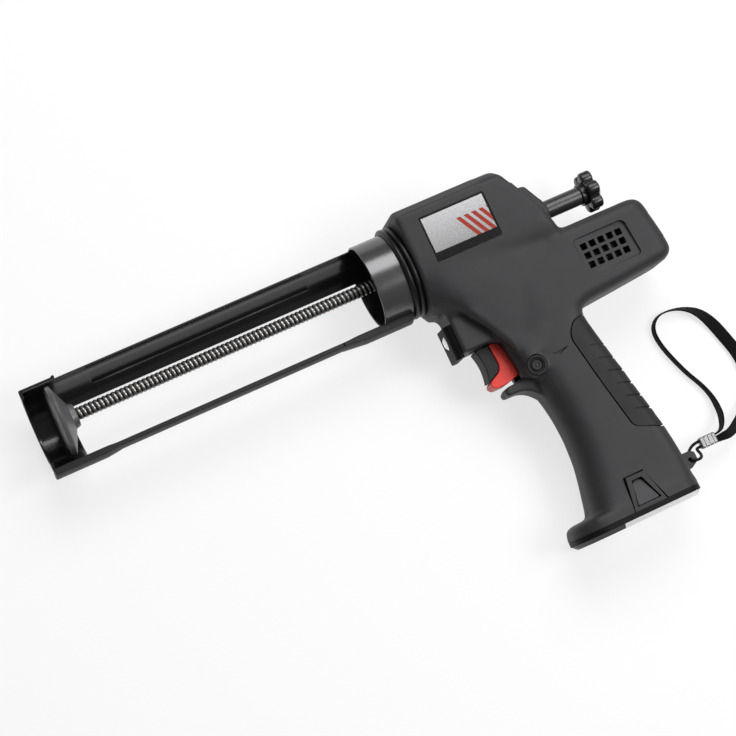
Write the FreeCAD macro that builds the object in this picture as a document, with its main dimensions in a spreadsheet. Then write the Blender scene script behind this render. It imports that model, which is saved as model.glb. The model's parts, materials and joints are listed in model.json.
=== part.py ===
# Cordless caulking tool, lying on its right side.
# Millimetres. X runs along the barrel to the rear, Y is the tool's own up, Z is its left side and points up.
# The origin is on the barrel axis, at the front edge of the cradle's collar.
import FreeCAD, Part
import math
import os
import re
import Sketcher

Vector = FreeCAD.Vector
doc = FreeCAD.newDocument("caulking_tool")
sheet = doc.addObject("Spreadsheet::Sheet", "Sizes")

# Driving dimensions
SIZES = {
    # Fits and cuts
    "overrun": 1,
    "wall": 3,
    "run_gap": 0.4,
    "fit_gap": 0.06,
    "seat_gap": 0.1,
    # Cradle
    "cradle_reach": 226,
    "collar_radius": 27.8,
    "collar_wall": 1.4,
    "collar_show": 20,
    "collar_flange": 2.6,
    "collar_flange_width": 3,
    "collar_tail": 4,
    "collar_back": 3,
    "gasket_width": 8,
    "gasket_height": 3,
    "gasket_groove": 1.4,
    "cup_depth": 24,
    "lip_width": 2,
    "lip_depth": 6.3,
    "trough_wall": 1.2,
    "trough_angle": 70,
    "trough_overlap": 12,
    "rail_width": 16,
    "rail_thickness": 2.4,
    "rail_end_gap": 1.1,
    "rivet_radius": 2,
    "rivet_head_radius": 3.6,
    "rivet_head": 1.2,
    # Spindle, plunger and knob
    "spindle_radius": 4.4,
    "plunger_gap": 12,
    "plunger_clearance": 4.8,
    "plunger_rim": 5,
    "plunger_dish": 2.5,
    "plunger_hub": 8,
    "plunger_hub_radius": 9,
    "sleeve_radius": 6,
    "sleeve_gap": 13,
    "knob_reach": 26.5,
    "knob_width": 11,
    "knob_core_radius": 10,
    "knob_lobe_radius": 4.2,
    "knob_lobe_circle": 9.8,
    "knob_lobes": 6,
    "knob_neck": 3,
    "knob_neck_radius": 7.5,
    "knob_screw_radius": 5,
    "knob_screw_head": 2.4,
    # Head of the housing
    "head_wall": 5.2,
    "head_crown": 6.2,
    "head_bevel_width": 9,
    "head_bevel_drop": 5.5,
    "head_round_drop": 2,
    "slope_top": 100,
    "slope_foot": 124,
    "slope_foot_drop": 14,
    # Boss on the rear slope
    "boss_start": 100,
    "boss_end": 127.5,
    "boss_top": 18,
    "boss_top_end": 118,
    "boss_drop": 11,
    "boss_half_width": 12,
    # Motor lobe
    "lobe_start": 78,
    "lobe_top_wall": 7,
    "lobe_slant": 8.8,
    "lobe_bottom_wall": 2,
    "lobe_tail": 32.5,
    "lobe_rear_slant": 4,
    "lobe_corner": 9,
    "lobe_side_wall": 9,
    "lobe_bevel": 7,
    # Neck between head, lobe and grip
    "neck_half_width": 25,
    "neck_front": 31,
    "neck_front_drop": 38,
    "neck_curve_radius": 53,
    "neck_step": 3,
    "neck_low_drop": 88,
    "neck_heel": 119,
    "neck_heel_drop": 68,
    "neck_top_drop": 28,
    "neck_bevel": 7,
    # Grip
    "grip_side_wall": 5,
    "grip_front_wall": 10,
    "grip_front_top_drop": 109,
    "grip_front_lean": 4,
    "grip_front_radius": 160,
    "grip_rear_inset": 4,
    "grip_rear_top_drop": 75,
    "grip_bend_wall": 14,
    "grip_rear_bend_drop": 157,
    "grip_heel_wall": 17,
    "grip_round": 8,
    # Foot of the grip
    "flare_height": 26,
    "flare_inset": 1,
    "foot_reach": 22,
    "foot_toe_slant": 5,
    "foot_flare": 5,
    "foot_height": 9,
    "foot_round": 3,
    # Trigger block with the lamp
    "block_front": 36,
    "block_half_width": 16.5,
    "block_top_drop": 36,
    "block_drop": 64.5,
    "block_rear": 61,
    "block_rear_step": 3.5,
    "block_round": 2,
    "hook_tip": 50.5,
    "hook_gap": 2.5,
    "hook_thickness": 6,
    "hook_half_width": 10,
    "hook_nose": 1,
    "bezel_depth": 5,
    "bezel_half_width": 13,
    "bezel_slant": 1,
    "bezel_top_drop": 44,
    "bezel_drop": 66.5,
    "lamp_drop": 53,
    "lamp_radius": 5,
    "lens_thickness": 2.2,
    "led_radius": 3,
    "led_length": 9,
    # Label and vents
    "label_front": 41.5,
    "label_length": 45.5,
    "label_low_drop": 7.5,
    "label_height": 30.5,
    "label_recess": 1,
    "label_thickness": 0.6,
    "vent_front": 131,
    "vent_step": 6.3,
    "vent_columns": 5,
    "vent_rows": 3,
    "vent_hole": 4.4,
    "vent_drop": 34.5,
    "vent_margin": 3.5,
    "vent_recess": 0.8,
    # Rubber pad on the back of the grip
    "pad_thickness": 2.6,
    "pad_top_width": 16,
    "pad_low_width": 22,
    "pad_top_drop": 73,
    "pad_slant": 8,
    # Gear train: motor axis, reduction axis and barrel axis lie in one plane
    "motor_teeth": 12,
    "wheel_teeth": 48,
    "pinion_teeth": 12,
    "nut_teeth": 36,
    "fine_module": 0.6,
    "coarse_module": 1,
    "gear_front": 70,
    "plate_thickness": 4,
    "plate_half_width": 20,
    "plate_top": 21,
    "plate_margin": 20,
    "nut_gear_width": 7,
    "wheel_width": 7,
    "gear_side_gap": 1,
    "nut_front_radius": 8,
    "nut_hub_radius": 7.4,
    "nut_tail_radius": 6.2,
    "nut_nose": 5,
    "bush_wall": 2,
    "thrust_width": 4,
    "axle_radius": 2,
    "pillar_radius": 2.5,
    "pillar_inset": 3.5,
    # Motor
    "motor_radius": 18,
    "motor_length": 50,
    "motor_wall": 2,
    "motor_boss_radius": 6,
    "motor_cap": 6,
    "armature_radius": 13,
    "armature_gap": 4,
    "shaft_radius": 1.6,
    # Guide bush around the rear sleeve
    "guide_wall": 3,
    "guide_length": 13,
    # Trigger, switch and selector
    "trigger_half_width": 8,
    "trigger_gap": 1.5,
    "trigger_height": 26,
    "trigger_split": 54,
    "trigger_rear_top": 60,
    "trigger_rear_low": 64.2,
    "trigger_face_top": 44,
    "trigger_face_low": 46,
    "trigger_face_radius": 26,
    "trigger_travel": 4.5,
    "trigger_stem_radius": 2,
    "trigger_stem": 6,
    "trigger_stem_drop": 10,
    "spring_radius": 3,
    "spring_solid": 3.5,
    "switch_length": 24,
    "switch_half_width": 10,
    "switch_top_drop": 68,
    "switch_height": 16,
    "switch_room_rear": 106,
    "selector_place": 73.3,
    "selector_drop": 90.5,
    "selector_radius": 3.6,
    "selector_boss_radius": 7.3,
    "selector_boss_half": 21.5,
    "selector_sink": 0.6,
    "selector_stroke": 3,
    "board_thickness": 1.6,
    "board_gap": 13,
    "board_length": 24,
    "board_half_width": 11,
    "board_front": 79,
    # Battery
    "pack_front": 82,
    "pack_wall": 1.1,
    "pack_side_wall": 5.8,
    "pack_head": 21,
    "pack_foot_height": 6,
    "cell_radius": 9.2,
    "cell_length": 65,
    "cell_web": 0.6,
    "blade_half_width": 5,
    "blade_thickness": 0.8,
    "blade_height": 5,
    "terminal_height": 7,
    "terminal_gap": 2.6,
    "room_floor": 5.4,
    "tab_inset": 7.5,
    "tab_low_width": 22.5,
    "tab_front_slant": 3.5,
    "tab_rear_slant": 6.5,
    "tab_height": 22,
    "tab_sink": 0.6,
    "latch_margin": 3.2,
    "latch_thickness": 3.2,
    "latch_stroke": 2.2,
    "latch_sink": 0.6,
    "latch_spring_radius": 2.4,
    # Housing screws
    "screw_radius": 1.5,
    "screw_head_radius": 3,
    "screw_head": 2.4,
    "screw_seat": 12,
    "screw_reach": 10,
    # Wrist strap
    "lug_half_width": 3,
    "lug_reach": 9,
    "lug_depth": 6,
    "lug_height": 11,
    "lug_floor": 10,
    "lug_eye_radius": 2.6,
    "lug_eye_inset": 4.7,
    "lug_eye_height": 5.6,
    "ferrule_front": 158,
    "ferrule_length": 12,
    "ferrule_low_drop": 182,
    "ferrule_width": 7.6,
    "ferrule_bottom": 14,
    "ferrule_height": 5,
    "cord_diameter": 1.8,
    "webbing_diameter": 3,
}

# Sizes and places worked out from the driving dimensions, each from those above it
DERIVED = {
    "head_half_width": "collar_radius + head_wall",
    "head_top": "collar_radius + head_crown",
    "head_top_half": "head_half_width - head_bevel_width",
    "head_shoulder": "head_top - head_bevel_drop",
    "plunger_radius": "collar_radius - plunger_clearance",
    "lip_radius": "collar_radius - lip_depth",
    "reduction_drop": "coarse_module * (pinion_teeth + nut_teeth) / 2",
    "motor_drop": "reduction_drop + fine_module * (motor_teeth + wheel_teeth) / 2",
    "nut_gear_front": "gear_front + plate_thickness + nut_nose",
    "nut_gear_back": "nut_gear_front + nut_gear_width",
    "wheel_front": "nut_gear_back + gear_side_gap",
    "wheel_back": "wheel_front + wheel_width",
    "rear_plate_front": "wheel_back + gear_side_gap",
    "gear_back": "rear_plate_front + plate_thickness",
    "motor_back": "gear_back + motor_length",
    "knob_front": "boss_end + knob_reach",
    "sleeve_front": "gear_back + sleeve_gap",
    "lobe_top_drop": "motor_drop - motor_radius - lobe_top_wall",
    "lobe_rear_drop": "motor_drop + motor_radius + lobe_bottom_wall",
    "lobe_front_drop": "lobe_rear_drop + lobe_slant",
    "lobe_half_width": "motor_radius + lobe_side_wall",
    "lobe_rear": "motor_back + motor_cap + lobe_tail",
    "bezel_front": "block_front - bezel_depth",
    "block_rear_drop": "block_drop + block_rear_step",
    "trigger_top_drop": "block_drop + trigger_gap",
    "trigger_drop": "trigger_top_drop + trigger_height",
    "trigger_axis_drop": "trigger_top_drop + trigger_stem_drop",
    "hook_top_drop": "trigger_drop + hook_gap",
    "hook_drop": "hook_top_drop + hook_thickness",
    "switch_drop": "switch_top_drop + switch_height",
    "board_drop": "switch_drop + board_gap",
    "room_top_drop": "board_drop + board_thickness + room_floor",
    "pack_top_drop": "room_top_drop + terminal_gap + terminal_height + run_gap",
    "pack_length": "cell_length + pack_head",
    "pack_rear": "pack_front + 4 * (cell_radius + seat_gap) + cell_web + 2 * pack_wall",
    "pack_half_width": "cell_radius + pack_side_wall",
    "foot_drop": "pack_top_drop + pack_length",
    "pack_foot_drop": "foot_drop + pack_foot_height",
    "grip_drop": "foot_drop - foot_height",
    "flare_drop": "grip_drop - flare_height",
    "grip_half_width": "pack_half_width + grip_side_wall",
    "foot_half_width": "grip_half_width + foot_flare",
    "grip_front_top": "pack_front - grip_front_wall",
    "grip_front_low": "grip_front_top - grip_front_lean",
    "neck_low": "grip_front_top - neck_step",
    "grip_rear_top": "pack_rear - grip_rear_inset",
    "grip_rear_bend": "pack_rear + grip_bend_wall",
    "grip_rear_low": "pack_rear + grip_heel_wall",
    "foot_front": "grip_front_top - foot_reach",
    "foot_toe": "foot_front + foot_toe_slant",
    "pad_front_top": "grip_rear_top - pad_top_width",
    "pad_front_low": "grip_rear_bend - pad_low_width",
    "pad_bottom_drop": "grip_rear_bend_drop",
    "tab_front": "pack_front + tab_inset",
    "tab_rear": "tab_front + tab_low_width",
    "tab_front_top": "tab_front + tab_front_slant",
    "tab_rear_top": "tab_rear - tab_rear_slant",
    "tab_top_drop": "foot_drop - tab_height",
    "tab_half_width": "foot_half_width - tab_sink",
    "lug_root": "grip_rear_low - lug_depth",
    "lug_tip": "grip_rear_low + lug_reach",
    "lug_low_drop": "foot_drop - lug_floor",
    "lug_top_drop": "lug_low_drop - lug_height",
    "lug_eye_place": "lug_tip - lug_eye_inset",
    "lug_eye_drop": "lug_low_drop - lug_eye_height",
}

# Shares of the gear module and of the pieces that carry a detail
TOOTH_TIP_SHARE = 0.8
TOOTH_ROOT_SHARE = 1.15
TOOTH_TIP_WIDTH_SHARE = 0.3
TOOTH_ROOT_WIDTH_SHARE = 0.85
HUB_TIP_SHARE = 0.62
GASKET_LIP_SHARE = 0.11
GASKET_RIDGE_SHARE = 0.33
GASKET_GROOVE_SHARE = 0.44
GASKET_BAND_SHARE = 0.67
TOUCH_SHARE = 0.0001
LOBE_ROUND_SHARE = 1.4
LUG_NOSE_SHARE = 0.3

# Screw places on the side of the housing: along the barrel, and above or below its axis
SCREW_HEIGHT = "(label_height - label_low_drop + screw_head_radius + run_gap)"
SCREW_PLACES = (
    ("slope_top / 2", SCREW_HEIGHT),
    ("slope_top - 2 * pillar_inset - wall", SCREW_HEIGHT),
    ("lobe_rear - lobe_corner", "-(lobe_top_drop + lobe_rear_drop) / 2"),
    ("neck_heel - pad_slant - wall", "-(neck_heel_drop - wall)"),
    ("(foot_front + pack_front) / 2", "-(grip_drop + foot_drop) / 2"),
    ("pack_rear + 2 * wall", "-(flare_drop + pad_slant)"),
)

# Routes of the strap, chosen along the photographed loop, which lies beside the grip
CORD_ROUTE = (
    (158, -176.3, -11.5), (154.5, -176.3, -11.5), (149, -178.8, -9), (144.6, -183, -5.5),
    (143.2, -184.6, 0), (144.4, -186.2, 4.8), (149.4, -186.8, 5.2), (152.6, -184.6, -0.5),
    (153.6, -180.2, -8.5), (156, -179.8, -11.5), (158, -179.8, -11.5),
)
STRAP_ROUTE = (
    (170, -176.4, -11.5), (174.5, -176.4, -11.5), (180, -171.5, -16), (183.8, -163.5, -21.5),
    (184.2, -153.5, -24.6), (181.3, -143.5, -25.6), (176, -133, -26), (171, -119, -26.5),
    (167.8, -106.5, -27), (168.2, -96.5, -27.3), (174.5, -90.3, -27.5), (184.5, -89.8, -27.6),
    (195, -93, -27.5), (202.5, -99.5, -27.2), (207.2, -108.8, -26.8), (210.6, -121, -26.3),
    (213.8, -133.5, -25.8), (214, -148, -25.2), (208.6, -161.3, -24.4), (199, -171, -22),
    (188, -177, -17.5), (180, -179.8, -13), (175.5, -179.8, -11.5), (170, -179.8, -11.5),
)

CELLS = {alias: str(number) for alias, number in SIZES.items()}
CELLS.update((alias, "=" + formula) for alias, formula in DERIVED.items())
for row, (alias, content) in enumerate(CELLS.items(), start=1):
    sheet.set(f"A{row}", alias)
    sheet.set(f"B{row}", content)
    sheet.setAlias(f"B{row}", alias)
doc.recompute()

NODES = []


def linked(text):
    """An expression on the sheet's sizes, with each size named as a cell of the sheet."""

    def cell(word):
        return "Sizes." + word.group() if word.group() in CELLS else word.group()

    return re.sub(r"[a-z_]+", cell, text)


def bind(item, name, text):
    item.setExpression(name, linked(text))


def size(text):
    return float(sheet.evalExpression(linked(text)))


def node(item, label):
    """Take a document object as the sub-part of that name."""
    item.Label = label
    NODES.append(item)
    return item


# Building blocks
def block(name, along, up, side):
    """A box between two expressions on each axis."""
    box = doc.addObject("Part::Box", name)
    spans = (along, up, side)
    for edge, axis, (low, high) in zip(("Length", "Width", "Height"), "xyz", spans):
        bind(box, edge, f"({high}) - ({low})")
        bind(box, f"Placement.Base.{axis}", low)
    return box


TURNS = {
    "x": FreeCAD.Rotation(Vector(0, 1, 0), 90),
    "y": FreeCAD.Rotation(Vector(1, 0, 0), -90),
    "z": FreeCAD.Rotation(),
}


def rod(name, axis, low, high, radius, x="0", y="0", z="0"):
    """A cylinder from low to high along one axis."""
    cylinder = doc.addObject("Part::Cylinder", name)
    cylinder.Placement = FreeCAD.Placement(Vector(), TURNS[axis])
    bind(cylinder, "Radius", radius)
    bind(cylinder, "Height", f"({high}) - ({low})")
    base = {"x": x, "y": y, "z": z}
    base[axis] = low
    for letter, place in base.items():
        bind(cylinder, f"Placement.Base.{letter}", place)
    return cylinder


def joined(name, items):
    union = doc.addObject("Part::MultiFuse", name)
    union.Shapes = items
    union.Refine = True
    return union


def less(name, base, tools):
    """A solid with the tools cut out of it."""
    cut = doc.addObject("Part::Cut", name)
    cut.Base = base
    cut.Tool = tools[0] if len(tools) == 1 else joined(name + "_tools", tools)
    cut.Refine = True
    return cut


def shared(name, first, second):
    common = doc.addObject("Part::MultiCommon", name)
    common.Shapes = [first, second]
    common.Refine = True
    return common


def grouped(name, items):
    group = doc.addObject("Part::Compound", name)
    group.Links = items
    return group


def new_body(name):
    return doc.addObject("PartDesign::Body", name)


def origin_plane(body, role):
    return next(item for item in body.Origin.OriginFeatures if item.Role == role)


def arc_between(start, end, radius):
    """A short arc between two points, its centre left of the way, or right for a negative radius."""
    chord = end - start
    left = Vector(-chord.y, chord.x, 0).normalize()
    half = chord.Length / 2
    rise = math.sqrt(max(radius * radius - half * half, 0))
    centre = (start + end) * 0.5 + left * math.copysign(rise, radius)
    first, last = (start, end) if radius > 0 else (end, start)
    turn_first = math.atan2(first.y - centre.y, first.x - centre.x)
    turn_last = math.atan2(last.y - centre.y, last.x - centre.x)
    if turn_last < turn_first:
        turn_last += 2 * math.pi
    return Part.ArcOfCircle(Part.Circle(centre, Vector(0, 0, 1), abs(radius)), turn_first, turn_last)


def outline(body, name, plane, corners, offset=None):
    """A closed sketch through corners written as expressions. A third entry makes an arc of the next edge."""
    sketch = body.newObject("Sketcher::SketchObject", name)
    sketch.AttachmentSupport = [(origin_plane(body, plane), "")]
    sketch.MapMode = "FlatFace"
    if offset:
        bind(sketch, "AttachmentOffset.Base.z", offset)
    points = [Vector(size(corner[0]), size(corner[1]), 0) for corner in corners]
    count = len(corners)
    edges = []
    ends = []
    for index, corner in enumerate(corners):
        start = points[index]
        end = points[(index + 1) % count]
        radius = size(corner[2]) if len(corner) > 2 else 0
        edges.append(arc_between(start, end, radius) if radius else Part.LineSegment(start, end))
        ends.append((2, 1) if radius < 0 else (1, 2))
    sketch.addGeometry(edges)
    rules = []
    sized = []
    for index, corner in enumerate(corners):
        after = (index + 1) % count
        rules.append(Sketcher.Constraint("Coincident", index, ends[index][1], after, ends[after][0]))
        sized.append((len(rules), corner[0]))
        rules.append(Sketcher.Constraint("DistanceX", -1, 1, index, ends[index][0], points[index].x))
        sized.append((len(rules), corner[1]))
        rules.append(Sketcher.Constraint("DistanceY", -1, 1, index, ends[index][0], points[index].y))
        if len(corner) > 2:
            sized.append((len(rules), f"abs({corner[2]})"))
            rules.append(Sketcher.Constraint("Radius", index, abs(size(corner[2]))))
    sketch.addConstraint(rules)
    for place, text in sized:
        bind(sketch, f"Constraints[{place}]", text)
    return sketch


def slab(name, corners, half_width, low=None):
    """A plate of that outline in the XY plane, to both sides of the middle or from low upwards."""
    body = new_body(name)
    sketch = outline(body, name + "_outline", "XY_Plane", corners, low)
    pad = body.newObject("PartDesign::Pad", name + "_pad")
    pad.Profile = sketch
    if low is None:
        pad.Midplane = True
        bind(pad, "Length", f"2 * ({half_width})")
    else:
        bind(pad, "Length", half_width)
    return body


def edges_at(shape, axis, places):
    """Names of the edges that lie wholly in a plane across that axis, at one of the places."""
    names = []
    for number, edge in enumerate(shape.Edges, start=1):
        box = edge.BoundBox
        low = getattr(box, axis + "Min")
        high = getattr(box, axis + "Max")
        reach = edge.Length * TOUCH_SHARE
        if any(low > place - reach and high < place + reach for place in places):
            names.append(f"Edge{number}")
    return names


def eased(body, kind, amount, axis, places, buried=()):
    """Ease the edges in the planes across that axis, apart from those in planes that the housing buries."""
    doc.recompute()
    tip = body.Tip
    names = edges_at(tip.Shape, axis, [size(place) for place in places])
    for other_axis, place in buried:
        hidden = edges_at(tip.Shape, other_axis, [size(place)])
        names = [name for name in names if name not in hidden]
    easing = body.newObject(f"PartDesign::{kind}", f"{body.Name}_{kind.lower()}_{axis.lower()}")
    easing.Base = (tip, names)
    bind(easing, "Radius" if kind == "Fillet" else "Size", amount)
    return body


def rounded(body, radius, axis, places, buried=()):
    return eased(body, "Fillet", radius, axis, places, buried)


def bevelled(body, width, axis, places, buried=()):
    return eased(body, "Chamfer", width, axis, places, buried)


def turned(name, stations, height="0", angle=None, backwards=False, middle=False):
    """A solid turned about the X direction through stations of place and radius."""
    body = new_body(name)
    sketch = outline(body, name + "_section", "XY_Plane", stations)
    turn = body.newObject("PartDesign::Revolution", name + "_turn")
    turn.Profile = sketch
    turn.ReferenceAxis = (sketch, ["H_Axis"])
    if angle:
        bind(turn, "Angle", angle)
    turn.Reversed = backwards
    turn.Midplane = middle
    bind(body, "Placement.Base.y", height)
    return body


def ring(name, low, high, inner, outer, height="0"):
    """A plain ring or, with an inner radius of 0, a disc about an axis along X."""
    return turned(name, ((low, inner), (high, inner), (high, outer), (low, outer)), height)


def with_teeth(body, teeth, module, low, width, half_step):
    """Add straight-sided teeth round a turned body, the first one up, or a gap there with half_step."""
    root = f"{module} * ({teeth} / 2 - {TOOTH_ROOT_SHARE})"
    tip = f"{module} * ({teeth} / 2 + {TOOTH_TIP_SHARE})"
    inner = f"({root} - {module} / 2)"
    root_half = f"{module} * {TOOTH_ROOT_WIDTH_SHARE}"
    tip_half = f"{module} * {TOOTH_TIP_WIDTH_SHARE}"
    corners = (
        (inner, f"-{root_half}"), (root, f"-{root_half}"), (tip, f"-{tip_half}"),
        (tip, tip_half), (root, root_half), (inner, root_half),
    )
    sketch = outline(body, body.Name + "_tooth", "YZ_Plane", corners, low)
    tooth = body.newObject("PartDesign::Pad", body.Name + "_tooth_pad")
    tooth.Profile = sketch
    bind(tooth, "Length", width)
    pattern = body.newObject("PartDesign::PolarPattern", body.Name + "_teeth")
    pattern.Originals = [tooth]
    pattern.Axis = (origin_plane(body, "X_Axis"), [""])
    pattern.Angle = 360
    bind(pattern, "Occurrences", teeth)
    body.Tip = pattern
    if half_step:
        turn = FreeCAD.Rotation(Vector(1, 0, 0), 180 / size(teeth))
        body.Placement = FreeCAD.Placement(body.Placement.Base, turn)
    return body


# Places worked out from the sizes
HEAD_FRONT = "(collar_show + gasket_width)"
FLANGE_FRONT = f"({HEAD_FRONT} + wall + run_gap)"
FLANGE_BACK = f"({FLANGE_FRONT} + collar_flange_width)"
COLLAR_END = f"({FLANGE_BACK} + collar_tail)"
COLLAR_BORE = "(collar_radius - collar_wall)"
COLLAR_HOLE = "(collar_radius + run_gap)"
PLUNGER_FRONT = "(lip_width + plunger_gap - cradle_reach)"
PLUNGER_BACK = f"({PLUNGER_FRONT} + plunger_rim)"
SPINDLE_END = "(knob_front + knob_width)"
LOBE_ROUND = f"lobe_corner * {LOBE_ROUND_SHARE}"
THRUST_FRONT = "(rear_plate_front - thrust_width)"
PLATE_DROP = "(motor_drop + plate_margin)"
GUIDE_RADIUS = "(sleeve_radius + fit_gap + guide_wall)"
GUIDE_FRONT = "(boss_end - guide_length)"
RIVETS = ("(cup_depth / 2 - cradle_reach)", "(collar_show / 2)")
RAIL_OUTER = "(collar_radius + rail_thickness)"
RAIL_HALF_TURN = "asin(rail_width / 2 / collar_radius)"
STEM_END = "(trigger_rear_top + trigger_stem)"
SWITCH_FRONT = f"({STEM_END} + trigger_travel + spring_solid)"
PACK_MIDDLE = "(pack_front + pack_rear) / 2"
CELL_OFFSET = "(cell_radius + seat_gap + cell_web / 2)"
CELL_PLACES = (f"({PACK_MIDDLE} - {CELL_OFFSET})", f"({PACK_MIDDLE} + {CELL_OFFSET})")


# Cradle: collar, trough, bottom rail and front cup, which turn together on the housing's nose
def collar():
    stations = (
        ("0", COLLAR_BORE), ("0", "collar_radius"), (FLANGE_FRONT, "collar_radius"),
        (FLANGE_FRONT, "collar_radius + collar_flange"), (FLANGE_BACK, "collar_radius + collar_flange"),
        (FLANGE_BACK, "collar_radius"), (COLLAR_END, "collar_radius"),
        (COLLAR_END, "spindle_radius + run_gap"),
        (f"{COLLAR_END} - collar_back", "spindle_radius + run_gap"),
        (f"{COLLAR_END} - collar_back", COLLAR_BORE),
    )
    hole = rivet_hole("collar_hole", RIVETS[1])
    node(less("collar_drilled", turned("collar_turned", stations), [hole]), "collar")


def trough():
    low = "lip_width - cradle_reach"
    stations = (
        (low, f"{COLLAR_BORE} - trough_wall"), ("trough_overlap", f"{COLLAR_BORE} - trough_wall"),
        ("trough_overlap", COLLAR_BORE), (low, COLLAR_BORE),
    )
    node(turned("trough_sector", stations, angle="trough_angle", backwards=True), "cartridge_trough")


def front_cup():
    inner = COLLAR_BORE
    stations = (
        ("-cradle_reach", "lip_radius"), ("lip_width - cradle_reach", "lip_radius"),
        ("lip_width - cradle_reach", inner), ("cup_depth - cradle_reach", inner),
        ("cup_depth - cradle_reach", "collar_radius"), ("-cradle_reach", "collar_radius"),
    )
    half = turned("cup_sector", stations, angle=f"180 deg + {RAIL_HALF_TURN}", backwards=True)
    node(less("cup_drilled", half, [rivet_hole("cup_hole", RIVETS[0])]), "front_cup")


def rivet_hole(name, place):
    low = f"-({RAIL_OUTER} + overrun)"
    return rod(name, "y", low, "-(collar_radius / 2)", "rivet_radius", x=place)


def rail():
    outer = f"-{RAIL_OUTER}"
    low = "-cradle_reach"
    high = "collar_show - rail_end_gap"
    stations = ((low, outer), (high, outer), (high, "-collar_radius"), (low, "-collar_radius"))
    strip = turned("rail_sector", stations, angle=f"2 * {RAIL_HALF_TURN}", middle=True)
    holes = [rivet_hole(f"rail_hole_{number}", place) for number, place in enumerate(RIVETS)]
    node(less("rail_drilled", strip, holes), "bottom_rail")


def rivets():
    items = []
    seat = f"-{RAIL_OUTER}"
    for number, place in enumerate(RIVETS):
        shank = rod(f"rivet_shank_{number}", "y", seat, f"-{COLLAR_BORE}", "rivet_radius", x=place)
        head = rod(f"rivet_head_{number}", "y", f"{seat} - rivet_head", seat, "rivet_head_radius", x=place)
        items.append(joined(f"rivet_{number}", [shank, head]))
    node(grouped("rivet_group", items), "cradle_rivets")


# Spindle with its plunger at the front and its sleeve and star knob at the rear
def spindle():
    node(ring("spindle_turned", PLUNGER_FRONT, SPINDLE_END, "0", "spindle_radius"), "spindle")


def plunger():
    stations = (
        (PLUNGER_FRONT, "spindle_radius"), (PLUNGER_FRONT, "plunger_radius"),
        (PLUNGER_BACK, "plunger_radius"), (PLUNGER_BACK, "plunger_radius - plunger_dish"),
        (f"{PLUNGER_BACK} - plunger_dish", "plunger_radius - plunger_dish"),
        (f"{PLUNGER_BACK} - plunger_dish", "plunger_hub_radius + plunger_dish"),
        (PLUNGER_BACK, "plunger_hub_radius"), (PLUNGER_BACK, "spindle_radius"),
    )
    node(turned("plunger_turned", stations), "plunger_disc")
    end = f"({PLUNGER_BACK} + plunger_hub)"
    stations = (
        (PLUNGER_BACK, "spindle_radius"), (end, "spindle_radius"),
        (end, f"plunger_hub_radius * {HUB_TIP_SHARE} + spindle_radius * {1 - HUB_TIP_SHARE}"),
        (PLUNGER_BACK, "plunger_hub_radius"),
    )
    node(turned("plunger_hub_turned", stations), "plunger_hub")


def sleeve_and_knob():
    sleeve = ring("sleeve_turned", "sleeve_front", "knob_front", "spindle_radius", "sleeve_radius")
    node(sleeve, "rear_sleeve")
    body = turned("knob_body", (
        ("knob_front", "spindle_radius"), ("knob_front", "knob_neck_radius"),
        ("knob_front + knob_neck", "knob_neck_radius"), ("knob_front + knob_neck", "knob_core_radius"),
        (SPINDLE_END, "knob_core_radius"), (SPINDLE_END, "spindle_radius"),
    ))
    sketch = body.newObject("Sketcher::SketchObject", "knob_lobe_outline")
    sketch.AttachmentSupport = [(origin_plane(body, "YZ_Plane"), "")]
    sketch.MapMode = "FlatFace"
    bind(sketch, "AttachmentOffset.Base.z", "knob_front + knob_neck")
    centre = Vector(size("knob_lobe_circle"), 0, 0)
    sketch.addGeometry(Part.Circle(centre, Vector(0, 0, 1), size("knob_lobe_radius")))
    sketch.addConstraint([
        Sketcher.Constraint("DistanceX", -1, 1, 0, 3, centre.x),
        Sketcher.Constraint("PointOnObject", 0, 3, -1),
        Sketcher.Constraint("Radius", 0, size("knob_lobe_radius")),
    ])
    bind(sketch, "Constraints[0]", "knob_lobe_circle")
    bind(sketch, "Constraints[2]", "knob_lobe_radius")
    lobe = body.newObject("PartDesign::Pad", "knob_lobe")
    lobe.Profile = sketch
    bind(lobe, "Length", "knob_width - knob_neck")
    pattern = body.newObject("PartDesign::PolarPattern", "knob_lobe_ring")
    pattern.Originals = [lobe]
    pattern.Axis = (origin_plane(body, "X_Axis"), [""])
    pattern.Angle = 360
    bind(pattern, "Occurrences", "knob_lobes")
    body.Tip = pattern
    node(body, "star_knob")
    head_end = f"({SPINDLE_END} + knob_screw_head)"
    node(ring("knob_screw_head_turned", SPINDLE_END, head_end, "0", "knob_screw_radius"), "knob_screw")


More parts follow.
